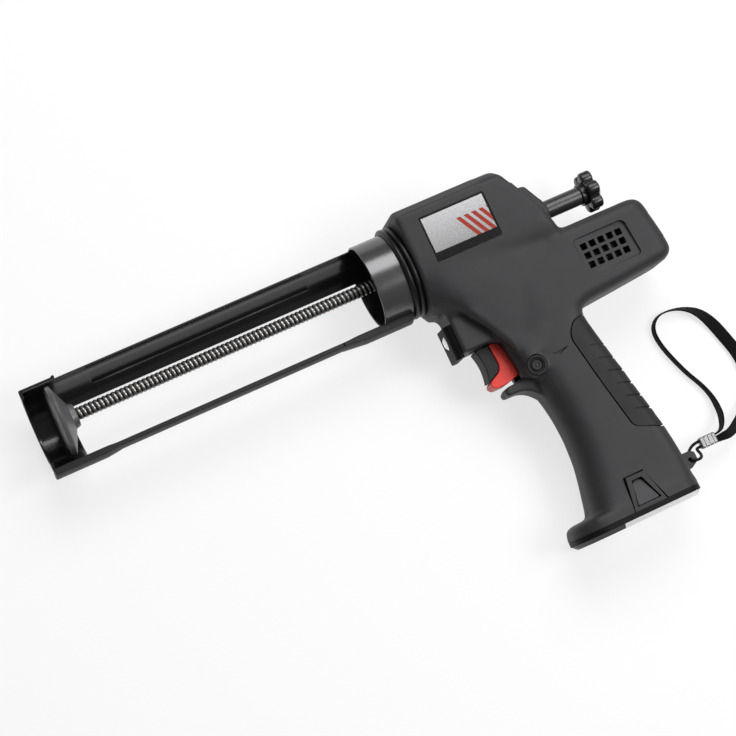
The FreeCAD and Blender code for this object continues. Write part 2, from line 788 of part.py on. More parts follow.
# Gear train between the two plates
def gears():
    nut_root = f"coarse_module * (nut_teeth / 2 - {TOOTH_ROOT_SHARE})"
    bore = "(spindle_radius + fit_gap)"
    tail_end = "(gear_back - run_gap)"
    nut = turned("drive_nut_body", (
        ("gear_front", bore), (tail_end, bore), (tail_end, "nut_tail_radius"),
        (f"{THRUST_FRONT} - fit_gap", "nut_tail_radius"), (f"{THRUST_FRONT} - fit_gap", "nut_hub_radius"),
        ("nut_gear_back", "nut_hub_radius"), ("nut_gear_back", nut_root), ("nut_gear_front", nut_root),
        ("nut_gear_front", "nut_front_radius"), ("gear_front", "nut_front_radius"),
    ))
    nut = with_teeth(nut, "nut_teeth", "coarse_module", "nut_gear_front", "nut_gear_width", True)
    node(nut, "drive_nut")

    drop = "-reduction_drop"
    axle_bore = "(axle_radius + fit_gap)"
    wheel_root = f"fine_module * (wheel_teeth / 2 - {TOOTH_ROOT_SHARE})"
    wheel = ring("reduction_wheel_body", "wheel_front", "wheel_back", axle_bore, wheel_root, drop)
    wheel = with_teeth(wheel, "wheel_teeth", "fine_module", "wheel_front", "wheel_width", True)
    node(wheel, "reduction_wheel")
    pinion_root = f"coarse_module * (pinion_teeth / 2 - {TOOTH_ROOT_SHARE})"
    pinion_front = "(nut_gear_front - gear_side_gap)"
    pinion = ring("reduction_pinion_body", pinion_front, "wheel_front", axle_bore, pinion_root, drop)
    length = f"wheel_front - {pinion_front}"
    pinion = with_teeth(pinion, "pinion_teeth", "coarse_module", pinion_front, length, False)
    node(pinion, "reduction_pinion")
    node(rod("reduction_axle_rod", "x", "gear_front", "gear_back", "axle_radius", y=drop), "reduction_axle")

    motor_drop = "-motor_drop"
    motor_root = f"fine_module * (motor_teeth / 2 - {TOOTH_ROOT_SHARE})"
    pinion = ring("motor_pinion_body", "wheel_front", "wheel_back", "shaft_radius", motor_root, motor_drop)
    pinion = with_teeth(pinion, "motor_teeth", "fine_module", "wheel_front", "wheel_width", False)
    node(pinion, "motor_pinion")


def plates():
    half = "plate_half_width - seat_gap"
    up = (f"seat_gap - {PLATE_DROP}", "plate_top - seat_gap")
    side = (f"-({half})", half)
    drop = "-reduction_drop"
    bush_outer = "(nut_front_radius + fit_gap + bush_wall)"
    front_end = "gear_front + plate_thickness"
    front = block("front_plate_block", ("gear_front", front_end), up, side)
    ends = ("gear_front - overrun", f"{front_end} + overrun")
    tools = [
        rod("front_plate_bore", "x", *ends, bush_outer),
        rod("front_plate_axle", "x", *ends, "axle_radius", y=drop),
    ]
    node(less("front_plate_cut", front, tools), "front_gear_plate")
    bush_bore = "nut_front_radius + fit_gap"
    node(ring("nut_bush_ring", "gear_front", front_end, bush_bore, bush_outer), "nut_bush")

    rear = block("rear_plate_block", ("rear_plate_front", "gear_back"), up, side)
    ends = ("rear_plate_front - overrun", "gear_back + overrun")
    tools = [
        rod("rear_plate_bore", "x", *ends, "nut_tail_radius + fit_gap"),
        rod("rear_plate_axle", "x", *ends, "axle_radius", y=drop),
        rod("rear_plate_motor", "x", *ends, "motor_boss_radius", y="-motor_drop"),
    ]
    node(less("rear_plate_cut", rear, tools), "rear_gear_plate")
    thrust_bore = "nut_tail_radius + fit_gap"
    thrust_outer = "nut_hub_radius + gear_side_gap / 2"
    node(ring("thrust_ring", THRUST_FRONT, "rear_plate_front", thrust_bore, thrust_outer), "thrust_bearing")

    inset = "pillar_inset"
    heights = (f"plate_top - {inset}", f"{inset} - {PLATE_DROP}")
    pillars = []
    for number, height in enumerate(heights):
        for sign in ("", "-"):
            place = f"{sign}(plate_half_width - {inset})"
            name = f"pillar_{number}{'right' if sign else 'left'}"
            pillars.append(rod(name, "x", front_end, "rear_plate_front", "pillar_radius", y=height, z=place))
    node(grouped("pillar_group", pillars), "gear_pillars")


def motor():
    drop = "-motor_drop"
    bore = "(shaft_radius + fit_gap)"
    inner = "motor_radius - motor_wall"
    node(turned("motor_can_turned", (
        ("rear_plate_front", bore), ("gear_back + motor_wall", bore), ("gear_back + motor_wall", inner),
        ("motor_back", inner), ("motor_back", "motor_radius"), ("gear_back", "motor_radius"),
        ("gear_back", "motor_boss_radius"), ("rear_plate_front", "motor_boss_radius"),
    ), drop), "motor_can")
    end = "motor_back + motor_cap"
    node(ring("motor_cap_ring", "motor_back", end, bore, "motor_radius", drop), "motor_end_cap")
    low = "gear_back + motor_wall + armature_gap"
    high = "motor_back - armature_gap"
    node(turned("motor_shaft_turned", (
        ("wheel_front", "0"), (end, "0"), (end, "shaft_radius"), (high, "shaft_radius"),
        (high, "armature_radius"), (low, "armature_radius"), (low, "shaft_radius"),
        ("wheel_front", "shaft_radius"),
    ), drop), "motor_armature")


def guide_bush():
    bore = "sleeve_radius + fit_gap"
    node(ring("guide_ring", GUIDE_FRONT, "boss_end", bore, GUIDE_RADIUS), "rear_guide_bush")


def gasket():
    inner = COLLAR_HOLE
    outer = "(collar_radius + gasket_height)"
    waist = "(collar_radius + gasket_groove)"
    node(turned("gasket_turned", (
        ("collar_show", inner), (HEAD_FRONT, inner), (HEAD_FRONT, outer),
        (f"collar_show + gasket_width * {GASKET_BAND_SHARE}", outer),
        (f"collar_show + gasket_width * {GASKET_GROOVE_SHARE}", waist),
        (f"collar_show + gasket_width * {GASKET_RIDGE_SHARE}", outer),
        (f"collar_show + gasket_width * {GASKET_LIP_SHARE}", outer), ("collar_show", waist),
    )), "front_gasket")


# Outer form of the housing
def head_form():
    body = new_body("head_form")
    low = "-(head_round_drop + head_half_width)"
    section = (
        ("head_top", "-head_top_half"), ("head_top", "head_top_half"),
        ("head_shoulder", "head_half_width"),
        ("-head_round_drop", "head_half_width", "head_half_width"), (low, "0", "head_half_width"),
        ("-head_round_drop", "-head_half_width"), ("head_shoulder", "-head_half_width"),
    )
    sketch = outline(body, "head_section", "YZ_Plane", section, HEAD_FRONT)
    pad = body.newObject("PartDesign::Pad", "head_pad")
    pad.Profile = sketch
    bind(pad, "Length", f"slope_foot - {HEAD_FRONT}")
    doc.recompute()
    slope = (
        ("slope_top", "head_top"), ("slope_foot", "-slope_foot_drop"),
        ("slope_foot + overrun", "-slope_foot_drop"), ("slope_foot + overrun", "head_top + overrun"),
        ("slope_top", "head_top + overrun"),
    )
    sketch = outline(body, "slope_outline", "XY_Plane", slope)
    pocket = body.newObject("PartDesign::Pocket", "slope_pocket")
    pocket.Profile = sketch
    pocket.Midplane = True
    pocket.Type = "ThroughAll"
    return rounded(body, "wall", "X", [HEAD_FRONT])


def lobe_form():
    body = slab("lobe_form", (
        ("lobe_start", "-lobe_front_drop"),
        ("lobe_rear - lobe_corner", "-lobe_rear_drop", LOBE_ROUND),
        ("lobe_rear", "-(lobe_rear_drop - lobe_corner)"),
        ("lobe_rear - lobe_rear_slant", "-(lobe_top_drop + lobe_corner)", LOBE_ROUND),
        ("lobe_rear - lobe_rear_slant - lobe_corner", "-lobe_top_drop"), ("lobe_start", "-lobe_top_drop"),
    ), "lobe_half_width")
    return bevelled(body, "lobe_bevel", "Z", ["lobe_half_width", "-lobe_half_width"])


def neck_form():
    body = slab("neck_form", (
        ("neck_front", "-neck_top_drop"), ("neck_front", "-neck_front_drop", "-neck_curve_radius"),
        ("neck_low", "-neck_low_drop"), ("pad_front_top - wall", "-pad_top_drop"),
        ("neck_heel", "-neck_heel_drop"), ("neck_heel", "-neck_top_drop"),
    ), "neck_half_width")
    buried = [("X", "neck_front"), ("X", "neck_heel"), ("Y", "-neck_top_drop")]
    return bevelled(body, "neck_bevel", "Z", ["neck_half_width", "-neck_half_width"], buried)


GRIP_OUTLINE = (
    ("neck_low", "-lobe_top_drop"), ("neck_low", "-neck_low_drop"),
    ("grip_front_top", "-grip_front_top_drop", "-grip_front_radius"), ("grip_front_low", "-grip_drop"),
    ("grip_rear_low", "-grip_drop"), ("grip_rear_bend", "-grip_rear_bend_drop"),
    ("grip_rear_top", "-grip_rear_top_drop"), ("grip_rear_top", "-lobe_top_drop"),
)


def grip_form(name):
    body = slab(name, GRIP_OUTLINE, "grip_half_width")
    buried = [("X", "neck_low"), ("X", "grip_rear_top"), ("Y", "-lobe_top_drop"), ("Y", "-grip_drop")]
    return rounded(body, "grip_round", "Z", ["grip_half_width", "-grip_half_width"], buried)


def foot_form():
    body = new_body("flare_form")
    sections = []
    flare_half = "grip_half_width - flare_inset"
    levels = (
        ("flare", "flare_drop", "grip_front_low + grip_round", "grip_rear_bend - grip_round / 2", flare_half),
        ("ankle", "grip_drop", "grip_front_low", "grip_rear_low", "foot_half_width"),
    )
    for name, drop, front, rear, half in levels:
        corners = ((front, f"-({half})"), (rear, f"-({half})"), (rear, half), (front, half))
        sections.append(outline(body, name + "_outline", "XZ_Plane", corners, drop))
    loft = body.newObject("PartDesign::AdditiveLoft", "flare_loft")
    loft.Profile = sections[0]
    loft.Sections = sections[1:]
    loft.Ruled = True
    toe = slab("toe_form", (
        ("foot_front", "-foot_drop"), ("grip_rear_low", "-foot_drop"), ("grip_rear_low", "-grip_drop"),
        ("foot_toe", "-grip_drop"), ("foot_front", "-(grip_drop + foot_drop) / 2"),
    ), "foot_half_width")
    rounded(toe, "foot_round", "Z", ["foot_half_width", "-foot_half_width"])
    return [body, toe]


def block_form():
    body = slab("block_form", (
        ("block_front", "-block_drop"), ("trigger_split", "-block_drop"),
        ("block_rear", "-block_rear_drop"),
        ("trigger_rear_low", "-hook_top_drop"), ("selector_place", "-hook_top_drop"),
        ("selector_place", "-block_top_drop"), ("block_front", "-block_top_drop"),
    ), "block_half_width")
    return rounded(body, "block_round", "Z", ["block_half_width", "-block_half_width"])


def hook_form():
    return slab("hook_form", (
        ("hook_tip", "-(hook_top_drop + hook_drop) / 2"), ("hook_tip + hook_nose", "-hook_drop"),
        ("trigger_rear_low", "-hook_drop", "-(grip_front_top_drop - hook_drop)"),
        ("grip_front_top", "-grip_front_top_drop"), ("selector_place + wall", "-grip_front_top_drop"),
        ("selector_place + wall", "-hook_top_drop"), ("hook_tip + wall", "-hook_top_drop"),
    ), "hook_half_width")


def boss_form():
    return slab("boss_form", (
        ("boss_start", "-boss_drop"), ("boss_end", "-boss_drop"), ("boss_top_end", "boss_top"),
        ("boss_start", "boss_top"),
    ), "boss_half_width")


def selector_ring():
    return rod("selector_ring", "z", "-selector_boss_half", "selector_boss_half", "selector_boss_radius",
               x="selector_place", y="-selector_drop")


# Rubber pad that wraps the back of the grip
def grip_pad():
    region = slab("pad_region", (
        ("pad_front_low", "-(pad_bottom_drop - pad_slant)"),
        ("grip_rear_low + overrun", "-pad_bottom_drop"), ("grip_rear_low + overrun", "-pad_top_drop"),
        ("pad_front_top + pad_slant", "-pad_top_drop"),
        ("pad_front_top", "-(pad_top_drop + pad_slant)"),
    ), "grip_half_width + overrun")
    low = "-(pad_bottom_drop + overrun)"
    high = "-(pad_top_drop - overrun)"
    bend = "grip_rear_bend - pad_thickness"
    top = "grip_rear_top - pad_thickness"
    core = slab("pad_core", (
        ("neck_low", low), (bend, low), (bend, "-grip_rear_bend_drop"), (top, "-grip_rear_top_drop"),
        (top, high), ("neck_low", high),
    ), "grip_half_width - pad_thickness")
    skin = shared("pad_skin", grip_form("pad_grip"), region)
    return node(less("pad_cut", skin, [core]), "grip_pad")


# Rooms and openings cut out of the housing
def rooms():
    half = "plate_half_width"
    front = f"{HEAD_FRONT} - overrun"
    groove = (f"{HEAD_FRONT} + wall", f"{FLANGE_BACK} + run_gap")
    groove_radius = f"{COLLAR_HOLE} + collar_flange"
    back = f"{COLLAR_END} + run_gap"
    tunnel = "nut_front_radius + wall"
    collar_room = turned("collar_room", (
        (front, "0"), (front, COLLAR_HOLE), (groove[0], COLLAR_HOLE), (groove[0], groove_radius),
        (groove[1], groove_radius), (groove[1], COLLAR_HOLE), (back, COLLAR_HOLE), (back, tunnel),
        ("gear_front + overrun", tunnel), ("gear_front + overrun", "0"),
    ))
    trigger_half = "(trigger_half_width + run_gap)"
    trigger_up = ("-(trigger_drop + run_gap)", "-trigger_top_drop + run_gap")
    pack_half = "(pack_half_width + run_gap)"
    pack_along = ("pack_front - run_gap", "pack_rear + run_gap")
    items = [
        collar_room,
        block("gear_room", ("gear_front", "gear_back"), (f"-{PLATE_DROP}", "plate_top"), (f"-{half}", half)),
        rod("motor_room", "x", "gear_back - overrun", "motor_back + motor_cap + motor_wall",
            "motor_radius + seat_gap", y="-motor_drop"),
        rod("guide_room", "x", "gear_back - overrun", "boss_end + overrun", GUIDE_RADIUS),
        block("trigger_room", ("hook_tip - overrun", SWITCH_FRONT), trigger_up,
              (f"-{trigger_half}", trigger_half)),
        block("switch_room", (f"{SWITCH_FRONT} - overrun", "switch_room_rear"),
              ("-room_top_drop", "-switch_top_drop"), ("-board_half_width", "board_half_width")),
        block("pack_room", pack_along, ("-(foot_drop + overrun)", "-room_top_drop"),
              (f"-{pack_half}", pack_half)),
        rod("selector_bore", "z", "-head_half_width", "head_half_width", "selector_radius + fit_gap",
            x="selector_place", y="-selector_drop"),
        rod("lamp_bore", "x", "block_front - overrun", "block_front + led_length",
            "led_radius + seat_gap", y="-lamp_drop"),
        slab("lug_slot", LUG_OUTLINE, "lug_half_width"),
        tab_notch(),
    ]
    return items + vents() + label_recesses() + screw_wells()


def vents():
    """Square holes in rows through both sides of the motor lobe, each side in a shallow recess."""
    items = []
    outer = "(lobe_half_width + overrun)"
    inner = "(lobe_half_width - vent_recess)"
    columns = int(size("vent_columns"))
    rows = int(size("vent_rows"))
    for column in range(columns):
        for row in range(rows):
            front = f"vent_front + {column} * vent_step"
            low = f"-(vent_drop + {row} * vent_step + vent_hole / 2)"
            along = (front, f"{front} + vent_hole")
            up = (low, f"{low} + vent_hole")
            items.append(block(f"vent_{column}_{row}", along, up, (f"-{outer}", outer)))
    last_column = "vent_front + (vent_columns - 1) * vent_step + vent_hole"
    last_row = "vent_drop + (vent_rows - 1) * vent_step + vent_hole / 2"
    along = ("vent_front - vent_margin", f"{last_column} + vent_margin")
    up = (f"-({last_row} + vent_margin)", "-(vent_drop - vent_hole / 2 - vent_margin)")
    items.append(block("vent_recess_left", along, up, (inner, outer)))
    items.append(block("vent_recess_right", along, up, (f"-{outer}", f"-{inner}")))
    return items


LABEL_ALONG = ("label_front", "label_front + label_length")
LABEL_UP = ("-label_low_drop", "label_height - label_low_drop")


def label_recesses():
    outer = "head_half_width + overrun"
    inner = "head_half_width - label_recess"
    return [
        block("label_recess_left", LABEL_ALONG, LABEL_UP, (inner, outer)),
        block("label_recess_right", LABEL_ALONG, LABEL_UP, (f"-({outer})", f"-({inner})")),
    ]


def labels():
    inner = "(head_half_width - label_recess)"
    outer = f"({inner} + label_thickness)"
    along = ("label_front + seat_gap", "label_front + label_length - seat_gap")
    up = ("seat_gap - label_low_drop", "label_height - label_low_drop - seat_gap")
    node(block("label_left_plate", along, up, (inner, outer)), "label_left")
    node(block("label_right_plate", along, up, (f"-{outer}", f"-{inner}")), "label_right")


def screw_wells():
    """Stepped holes for the screws, which go in from the right side."""
    items = []
    for number, (x, y) in enumerate(SCREW_PLACES):
        bore = rod(f"screw_bore_{number}", "z", "-screw_seat", "screw_reach", "screw_radius", x=x, y=y)
        well = rod(f"screw_well_{number}", "z", "-(head_half_width + overrun)", "-screw_seat",
                   "screw_head_radius + seat_gap", x=x, y=y)
        items += [bore, well]
    return items


def screws():
    items = []
    for number, (x, y) in enumerate(SCREW_PLACES):
        shank = rod(f"screw_shank_{number}", "z", "-screw_seat", "screw_reach", "screw_radius", x=x, y=y)
        head = rod(f"screw_head_{number}", "z", "-(screw_seat + screw_head)", "-screw_seat",
                   "screw_head_radius", x=x, y=y)
        items.append(joined(f"screw_{number}", [shank, head]))
    node(grouped("screw_group", items), "shell_screws")


def shells():
    pad = grip_pad()
    forms = [
        head_form(), lobe_form(), neck_form(), grip_form("grip_form"), block_form(), hook_form(),
        boss_form(), selector_ring(),
    ]
    whole = less("housing_hollow", joined("housing_form", forms + foot_form()), rooms() + [pad])
    along = ("-overrun", "lobe_rear + overrun")
    up = ("-(foot_drop + overrun)", "head_top + overrun")
    left = block("left_half", along, up, ("0", "head_half_width + overrun"))
    right = block("right_half", along, up, ("-(head_half_width + overrun)", "0"))
    node(shared("left_shell_half", whole, left), "left_shell")
    node(shared("right_shell_half", whole, right), "right_shell")


# Lamp at the front of the trigger block
def lamp():
    bezel = slab("bezel_slab", (
        ("bezel_front", "-bezel_drop"), ("block_front", "-bezel_drop"),
        ("block_front", "-bezel_top_drop"), ("bezel_front + bezel_slant", "-bezel_top_drop"),
    ), "bezel_half_width")
    drop = "-lamp_drop"
    bore = rod("bezel_bore", "x", "bezel_front - overrun", "block_front + overrun", "lamp_radius", y=drop)
    node(less("bezel_cut", bezel, [bore]), "lamp_bezel")
    low = "block_front - lens_thickness"
    node(rod("lens_disc", "x", low, "block_front", "lamp_radius", y=drop), "lamp_lens")
    high = "block_front + led_length"
    node(rod("led_body", "x", "block_front", high, "led_radius", y=drop), "lamp_led")


# Trigger with its finger face, spring, switch and direction selector
def trigger():
    lever = slab("trigger_slab", (
        ("trigger_split", "-trigger_drop"), ("trigger_rear_top", "-trigger_drop"),
        ("trigger_rear_low", "-(trigger_drop - wall)"), ("trigger_rear_top", "-trigger_top_drop"),
        ("trigger_split", "-trigger_top_drop"),
    ), "trigger_half_width")
    drop = "-trigger_axis_drop"
    stem = rod("trigger_stem_rod", "x", "trigger_split", STEM_END, "trigger_stem_radius", y=drop)
    node(joined("trigger_joined", [lever, stem]), "trigger")
    node(slab("trigger_face_slab", (
        ("trigger_face_top", "-trigger_top_drop", "-trigger_face_radius"),
        ("trigger_face_low", "-trigger_drop"),
        ("trigger_split", "-trigger_drop"), ("trigger_split", "-trigger_top_drop"),
    ), "trigger_half_width"), "trigger_face")
    spring = ring("trigger_spring_ring", STEM_END, SWITCH_FRONT, "trigger_stem_radius", "spring_radius", drop)
    node(spring, "trigger_spring")
    half = "switch_half_width"
    along = (SWITCH_FRONT, f"{SWITCH_FRONT} + switch_length")
    up = ("-switch_drop", "-switch_top_drop")
    node(block("switch_block", along, up, (f"-{half}", half)), "trigger_switch")
    low = "-(selector_boss_half + selector_stroke)"
    node(rod("selector_rod", "z", low, "selector_boss_half - selector_sink", "selector_radius",
             x="selector_place", y="-selector_drop"), "selector_bolt")
    half = "(board_half_width - seat_gap)"
    along = ("board_front", "board_front + board_length")
    up = ("-(board_drop + board_thickness)", "-board_drop")
    node(block("board_block", along, up, (f"-{half}", half)), "control_board")


# Battery that slides into the grip
TAB_OUTLINE = (
    ("tab_front", "-foot_drop"), ("tab_rear", "-foot_drop"), ("tab_rear_top", "-tab_top_drop"),
    ("tab_front_top", "-tab_top_drop"),
)


def tab_notch():
    gap = "run_gap"
    return slab("tab_notch", (
        (f"tab_front - {gap}", "-(foot_drop + overrun)"), (f"tab_rear + {gap}", "-(foot_drop + overrun)"),
        (f"tab_rear + {gap}", "-foot_drop"), (f"tab_rear_top + {gap}", f"-(tab_top_drop - {gap})"),
        (f"tab_front_top - {gap}", f"-(tab_top_drop - {gap})"), (f"tab_front - {gap}", "-foot_drop"),
    ), "foot_half_width + overrun")


def latch_outline(margin):
    low = f"-(foot_drop - {margin})"
    high = f"-(tab_top_drop + {margin})"
    return (
        (f"tab_front + {margin}", low), (f"tab_rear - {margin}", low),
        (f"tab_rear_top - {margin}", high), (f"tab_front_top + {margin}", high),
    )


LATCH_INNER = "(tab_half_width - latch_sink - latch_thickness)"
LATCH_FLOOR = f"({LATCH_INNER} - latch_stroke - run_gap)"


def battery():
    along = ("pack_front", "pack_rear")
    side = ("-pack_half_width", "pack_half_width")
    stick = block("pack_stick", along, ("-foot_drop", "-pack_top_drop"), side)
    tabs = slab("pack_tabs", TAB_OUTLINE, "tab_half_width")
    pocket = latch_outline("(latch_margin - run_gap)")
    depth = f"tab_half_width - {LATCH_FLOOR} + overrun"
    tools = [
        slab("latch_pocket_left", pocket, depth, LATCH_FLOOR),
        slab("latch_pocket_right", pocket, depth, "-(tab_half_width + overrun)"),
    ]
    cells = []
    low = "seat_gap - foot_drop"
    high = f"{low} + cell_length"
    for number, x in enumerate(CELL_PLACES):
        mouth = "-(foot_drop + overrun)"
        tools.append(rod(f"cell_bore_{number}", "y", mouth, high, "cell_radius + seat_gap", x=x))
        cells.append(rod(f"cell_{number}", "y", low, high, "cell_radius", x=x))
    node(less("pack_cut", joined("pack_joined", [stick, tabs]), tools), "battery_case")
    node(grouped("cell_group", cells), "battery_cells")
    foot = slab("pack_foot", (
        ("foot_front", "-pack_foot_drop"), ("grip_rear_low", "-pack_foot_drop"),
        ("grip_rear_low", "-foot_drop"), ("foot_front", "-foot_drop"),
    ), "foot_half_width")
    node(rounded(foot, "foot_round", "Y", ["-pack_foot_drop"]), "battery_foot")
    blades = []
    slots = []
    blade_top = "blade_height - pack_top_drop"
    slot_half = "(blade_half_width + run_gap)"
    for number, x in enumerate(CELL_PLACES):
        thick = (f"{x} - blade_thickness / 2", f"{x} + blade_thickness / 2")
        wide = ("-blade_half_width", "blade_half_width")
        blades.append(block(f"blade_{number}", thick, ("-pack_top_drop", blade_top), wide))
        thick = (f"{thick[0]} - run_gap", f"{thick[1]} + run_gap")
        wide = (f"-{slot_half}", slot_half)
        slots.append(block(f"blade_slot_{number}", thick, ("-pack_top_drop", f"{blade_top} + run_gap"), wide))
    node(grouped("blade_group", blades), "battery_contacts")
    low = "(run_gap - pack_top_drop)"
    terminal = block("terminal", along, (low, f"{low} + terminal_height"), side)
    node(less("terminal_cut", terminal, slots), "terminal_block")


def latches():
    corners = latch_outline("latch_margin")
    node(slab("latch_left_slab", corners, "latch_thickness", LATCH_INNER), "latch_left")
    low = f"-({LATCH_INNER} + latch_thickness)"
    node(slab("latch_right_slab", corners, "latch_thickness", low), "latch_right")
    x = "(tab_front + tab_rear) / 2"
    y = "-(foot_drop + tab_top_drop) / 2"
    ends = {"left": (LATCH_FLOOR, LATCH_INNER), "right": (f"-{LATCH_INNER}", f"-{LATCH_FLOOR}")}
    for side, (low, high) in ends.items():
        spring = rod(f"latch_spring_rod_{side}", "z", low, high, "latch_spring_radius", x=x, y=y)
        node(spring, f"latch_spring_{side}")


# Wrist strap: lug, thin cord, ferrule and webbing
LUG_OUTLINE = (
    ("lug_root", "-lug_low_drop"), ("grip_rear_low + wall", "-lug_low_drop"),
    ("lug_tip", f"-(lug_low_drop - (lug_low_drop - lug_top_drop) * {1 - LUG_NOSE_SHARE})"),
    ("lug_tip", f"-(lug_top_drop + (lug_low_drop - lug_top_drop) * {LUG_NOSE_SHARE} / 2)"),
    ("lug_tip - wall", "-lug_top_drop"), ("lug_root", "-lug_top_drop"),
)


def strap_tube(label, route, diameter):
    """A round tube along straight runs joined by arcs as large as the runs allow."""
    points = [Vector(*point) for point in route]
    reach_share = 0.45
    edges = []
    radii = []
    last = points[0]
    for before, corner, after in zip(points, points[1:], points[2:]):
        back = before - corner
        ahead = after - corner
        reach = reach_share * min(back.Length, ahead.Length)
        half_turn = (math.pi - back.getAngle(ahead)) / 2
        radii.append(reach / math.tan(half_turn))
        start = corner + back.normalize() * reach
        end = corner + ahead.normalize() * reach
        bisector = (back + ahead).normalize()
        middle = corner + bisector * (radii[-1] / math.cos(half_turn) - radii[-1])
        edges.append(Part.LineSegment(last, start).toShape())
        edges.append(Part.Arc(start, middle, end).toShape())
        last = end
    edges.append(Part.LineSegment(last, points[-1]).toShape())
    path = Part.Wire(edges)
    profile = Part.Wire(Part.makeCircle(diameter / 2, points[0], points[1] - points[0]))
    solid = path.makePipeShell([profile], True, True)
    expected = math.pi * diameter * diameter / 4 * path.Length
    print(label, "length", round(path.Length, 1), "radii", [round(radius, 1) for radius in radii])
    print(label, "volume over section times length", round(solid.Volume / expected, 4))
    tube = doc.addObject("Part::Feature", label + "_tube")
    tube.Shape = solid
    tube.Placement = FreeCAD.Placement()
    node(tube, label)


def strap():
    lug = slab("lug_slab", LUG_OUTLINE, "lug_half_width")
    eye = rod("lug_eye", "z", "-(lug_half_width + overrun)", "lug_half_width + overrun", "lug_eye_radius",
              x="lug_eye_place", y="-lug_eye_drop")
    node(less("lug_cut", lug, [eye]), "strap_lug")
    node(block("ferrule_block", ("ferrule_front", "ferrule_front + ferrule_length"),
               ("-ferrule_low_drop", "ferrule_width - ferrule_low_drop"),
               ("-ferrule_bottom", "ferrule_height - ferrule_bottom")), "strap_ferrule")
    strap_tube("strap_cord", CORD_ROUTE, size("cord_diameter"))
    strap_tube("strap_webbing", STRAP_ROUTE, size("webbing_diameter"))


# The whole tool
BUILDERS = (
    collar, trough, front_cup, rail, rivets, spindle, plunger, sleeve_and_knob, gears, plates, motor,
    guide_bush, gasket, shells, screws, labels, lamp, trigger, battery, latches, strap,
)
for build in BUILDERS:
    build()
doc.recompute()

failed = [item.Name for item in doc.Objects if "Invalid" in item.State or "Error" in item.State]
if failed:
    raise RuntimeError(f"failed: {failed}")
os.makedirs("parts", exist_ok=True)
for item in NODES:
    if item.Shape.isNull() or not item.Shape.isValid():
        raise RuntimeError(f"{item.Label} has no valid shape")
for item in NODES:
    item.Shape.exportStep(f"parts/{item.Label}.step")
print(len(NODES), "sub-parts")
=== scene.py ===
"""Looks of a cordless caulking tool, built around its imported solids."""

import json
import math

import bmesh
import bpy
from bpy.props import FloatProperty, FloatVectorProperty, IntProperty, PointerProperty
from mathutils import Matrix, Vector

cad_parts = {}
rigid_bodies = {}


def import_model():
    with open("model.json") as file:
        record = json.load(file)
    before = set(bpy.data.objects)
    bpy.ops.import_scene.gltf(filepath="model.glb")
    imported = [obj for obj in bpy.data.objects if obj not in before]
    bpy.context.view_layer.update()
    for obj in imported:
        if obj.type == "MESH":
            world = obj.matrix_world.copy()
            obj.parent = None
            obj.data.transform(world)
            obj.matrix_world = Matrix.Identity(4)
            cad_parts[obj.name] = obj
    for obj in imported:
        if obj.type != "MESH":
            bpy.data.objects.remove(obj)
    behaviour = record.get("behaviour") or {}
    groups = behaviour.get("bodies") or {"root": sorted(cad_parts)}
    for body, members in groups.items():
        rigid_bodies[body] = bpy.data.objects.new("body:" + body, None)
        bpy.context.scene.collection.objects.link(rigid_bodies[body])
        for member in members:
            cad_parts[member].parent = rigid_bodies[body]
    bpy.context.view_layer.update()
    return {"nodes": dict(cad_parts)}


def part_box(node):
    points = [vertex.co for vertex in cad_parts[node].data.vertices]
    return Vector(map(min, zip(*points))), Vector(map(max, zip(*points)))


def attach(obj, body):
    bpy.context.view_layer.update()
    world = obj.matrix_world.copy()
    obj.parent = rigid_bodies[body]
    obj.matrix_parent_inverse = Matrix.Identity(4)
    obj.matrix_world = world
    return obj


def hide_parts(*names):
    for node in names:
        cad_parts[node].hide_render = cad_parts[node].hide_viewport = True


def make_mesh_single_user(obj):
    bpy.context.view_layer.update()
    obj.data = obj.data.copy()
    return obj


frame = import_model()

bl_info = {
    "name": "Cordless caulking tool",
    "version": (1, 0, 0),
    "blender": (4, 5, 0),
    "location": "3D View > Sidebar > Caulker",
    "description": "Builds the looks of a cordless caulking tool around its packed solids",
    "category": "Object",
}

MM = 0.001
TURN = 2 * math.pi
# Points nearer than this, in metres, are one
CLOSE = 1e-6
# Beyond every piece, in millimetres
FAR = 1000
ALONG = {"x": Vector((1, 0, 0)), "y": Vector((0, 1, 0)), "z": Vector((0, 0, 1))}

# Places that several shapes share, in millimetres
HEAD_FRONT = 28
HEAD_HALF = 33
MOTOR_AXIS = (-42, 0)
LAMP_AXIS = (-53, 0)
SELECTOR_AXIS = (73.3, -90.5)
LABEL_ROOM = ((41.5, 87), (-7.5, 23))
FOOT_PLAN = ((50, -25, 20), (137.6, -25, 13), (137.6, 25, 13), (50, 25, 20))
LATCH_FOOT = -196.8

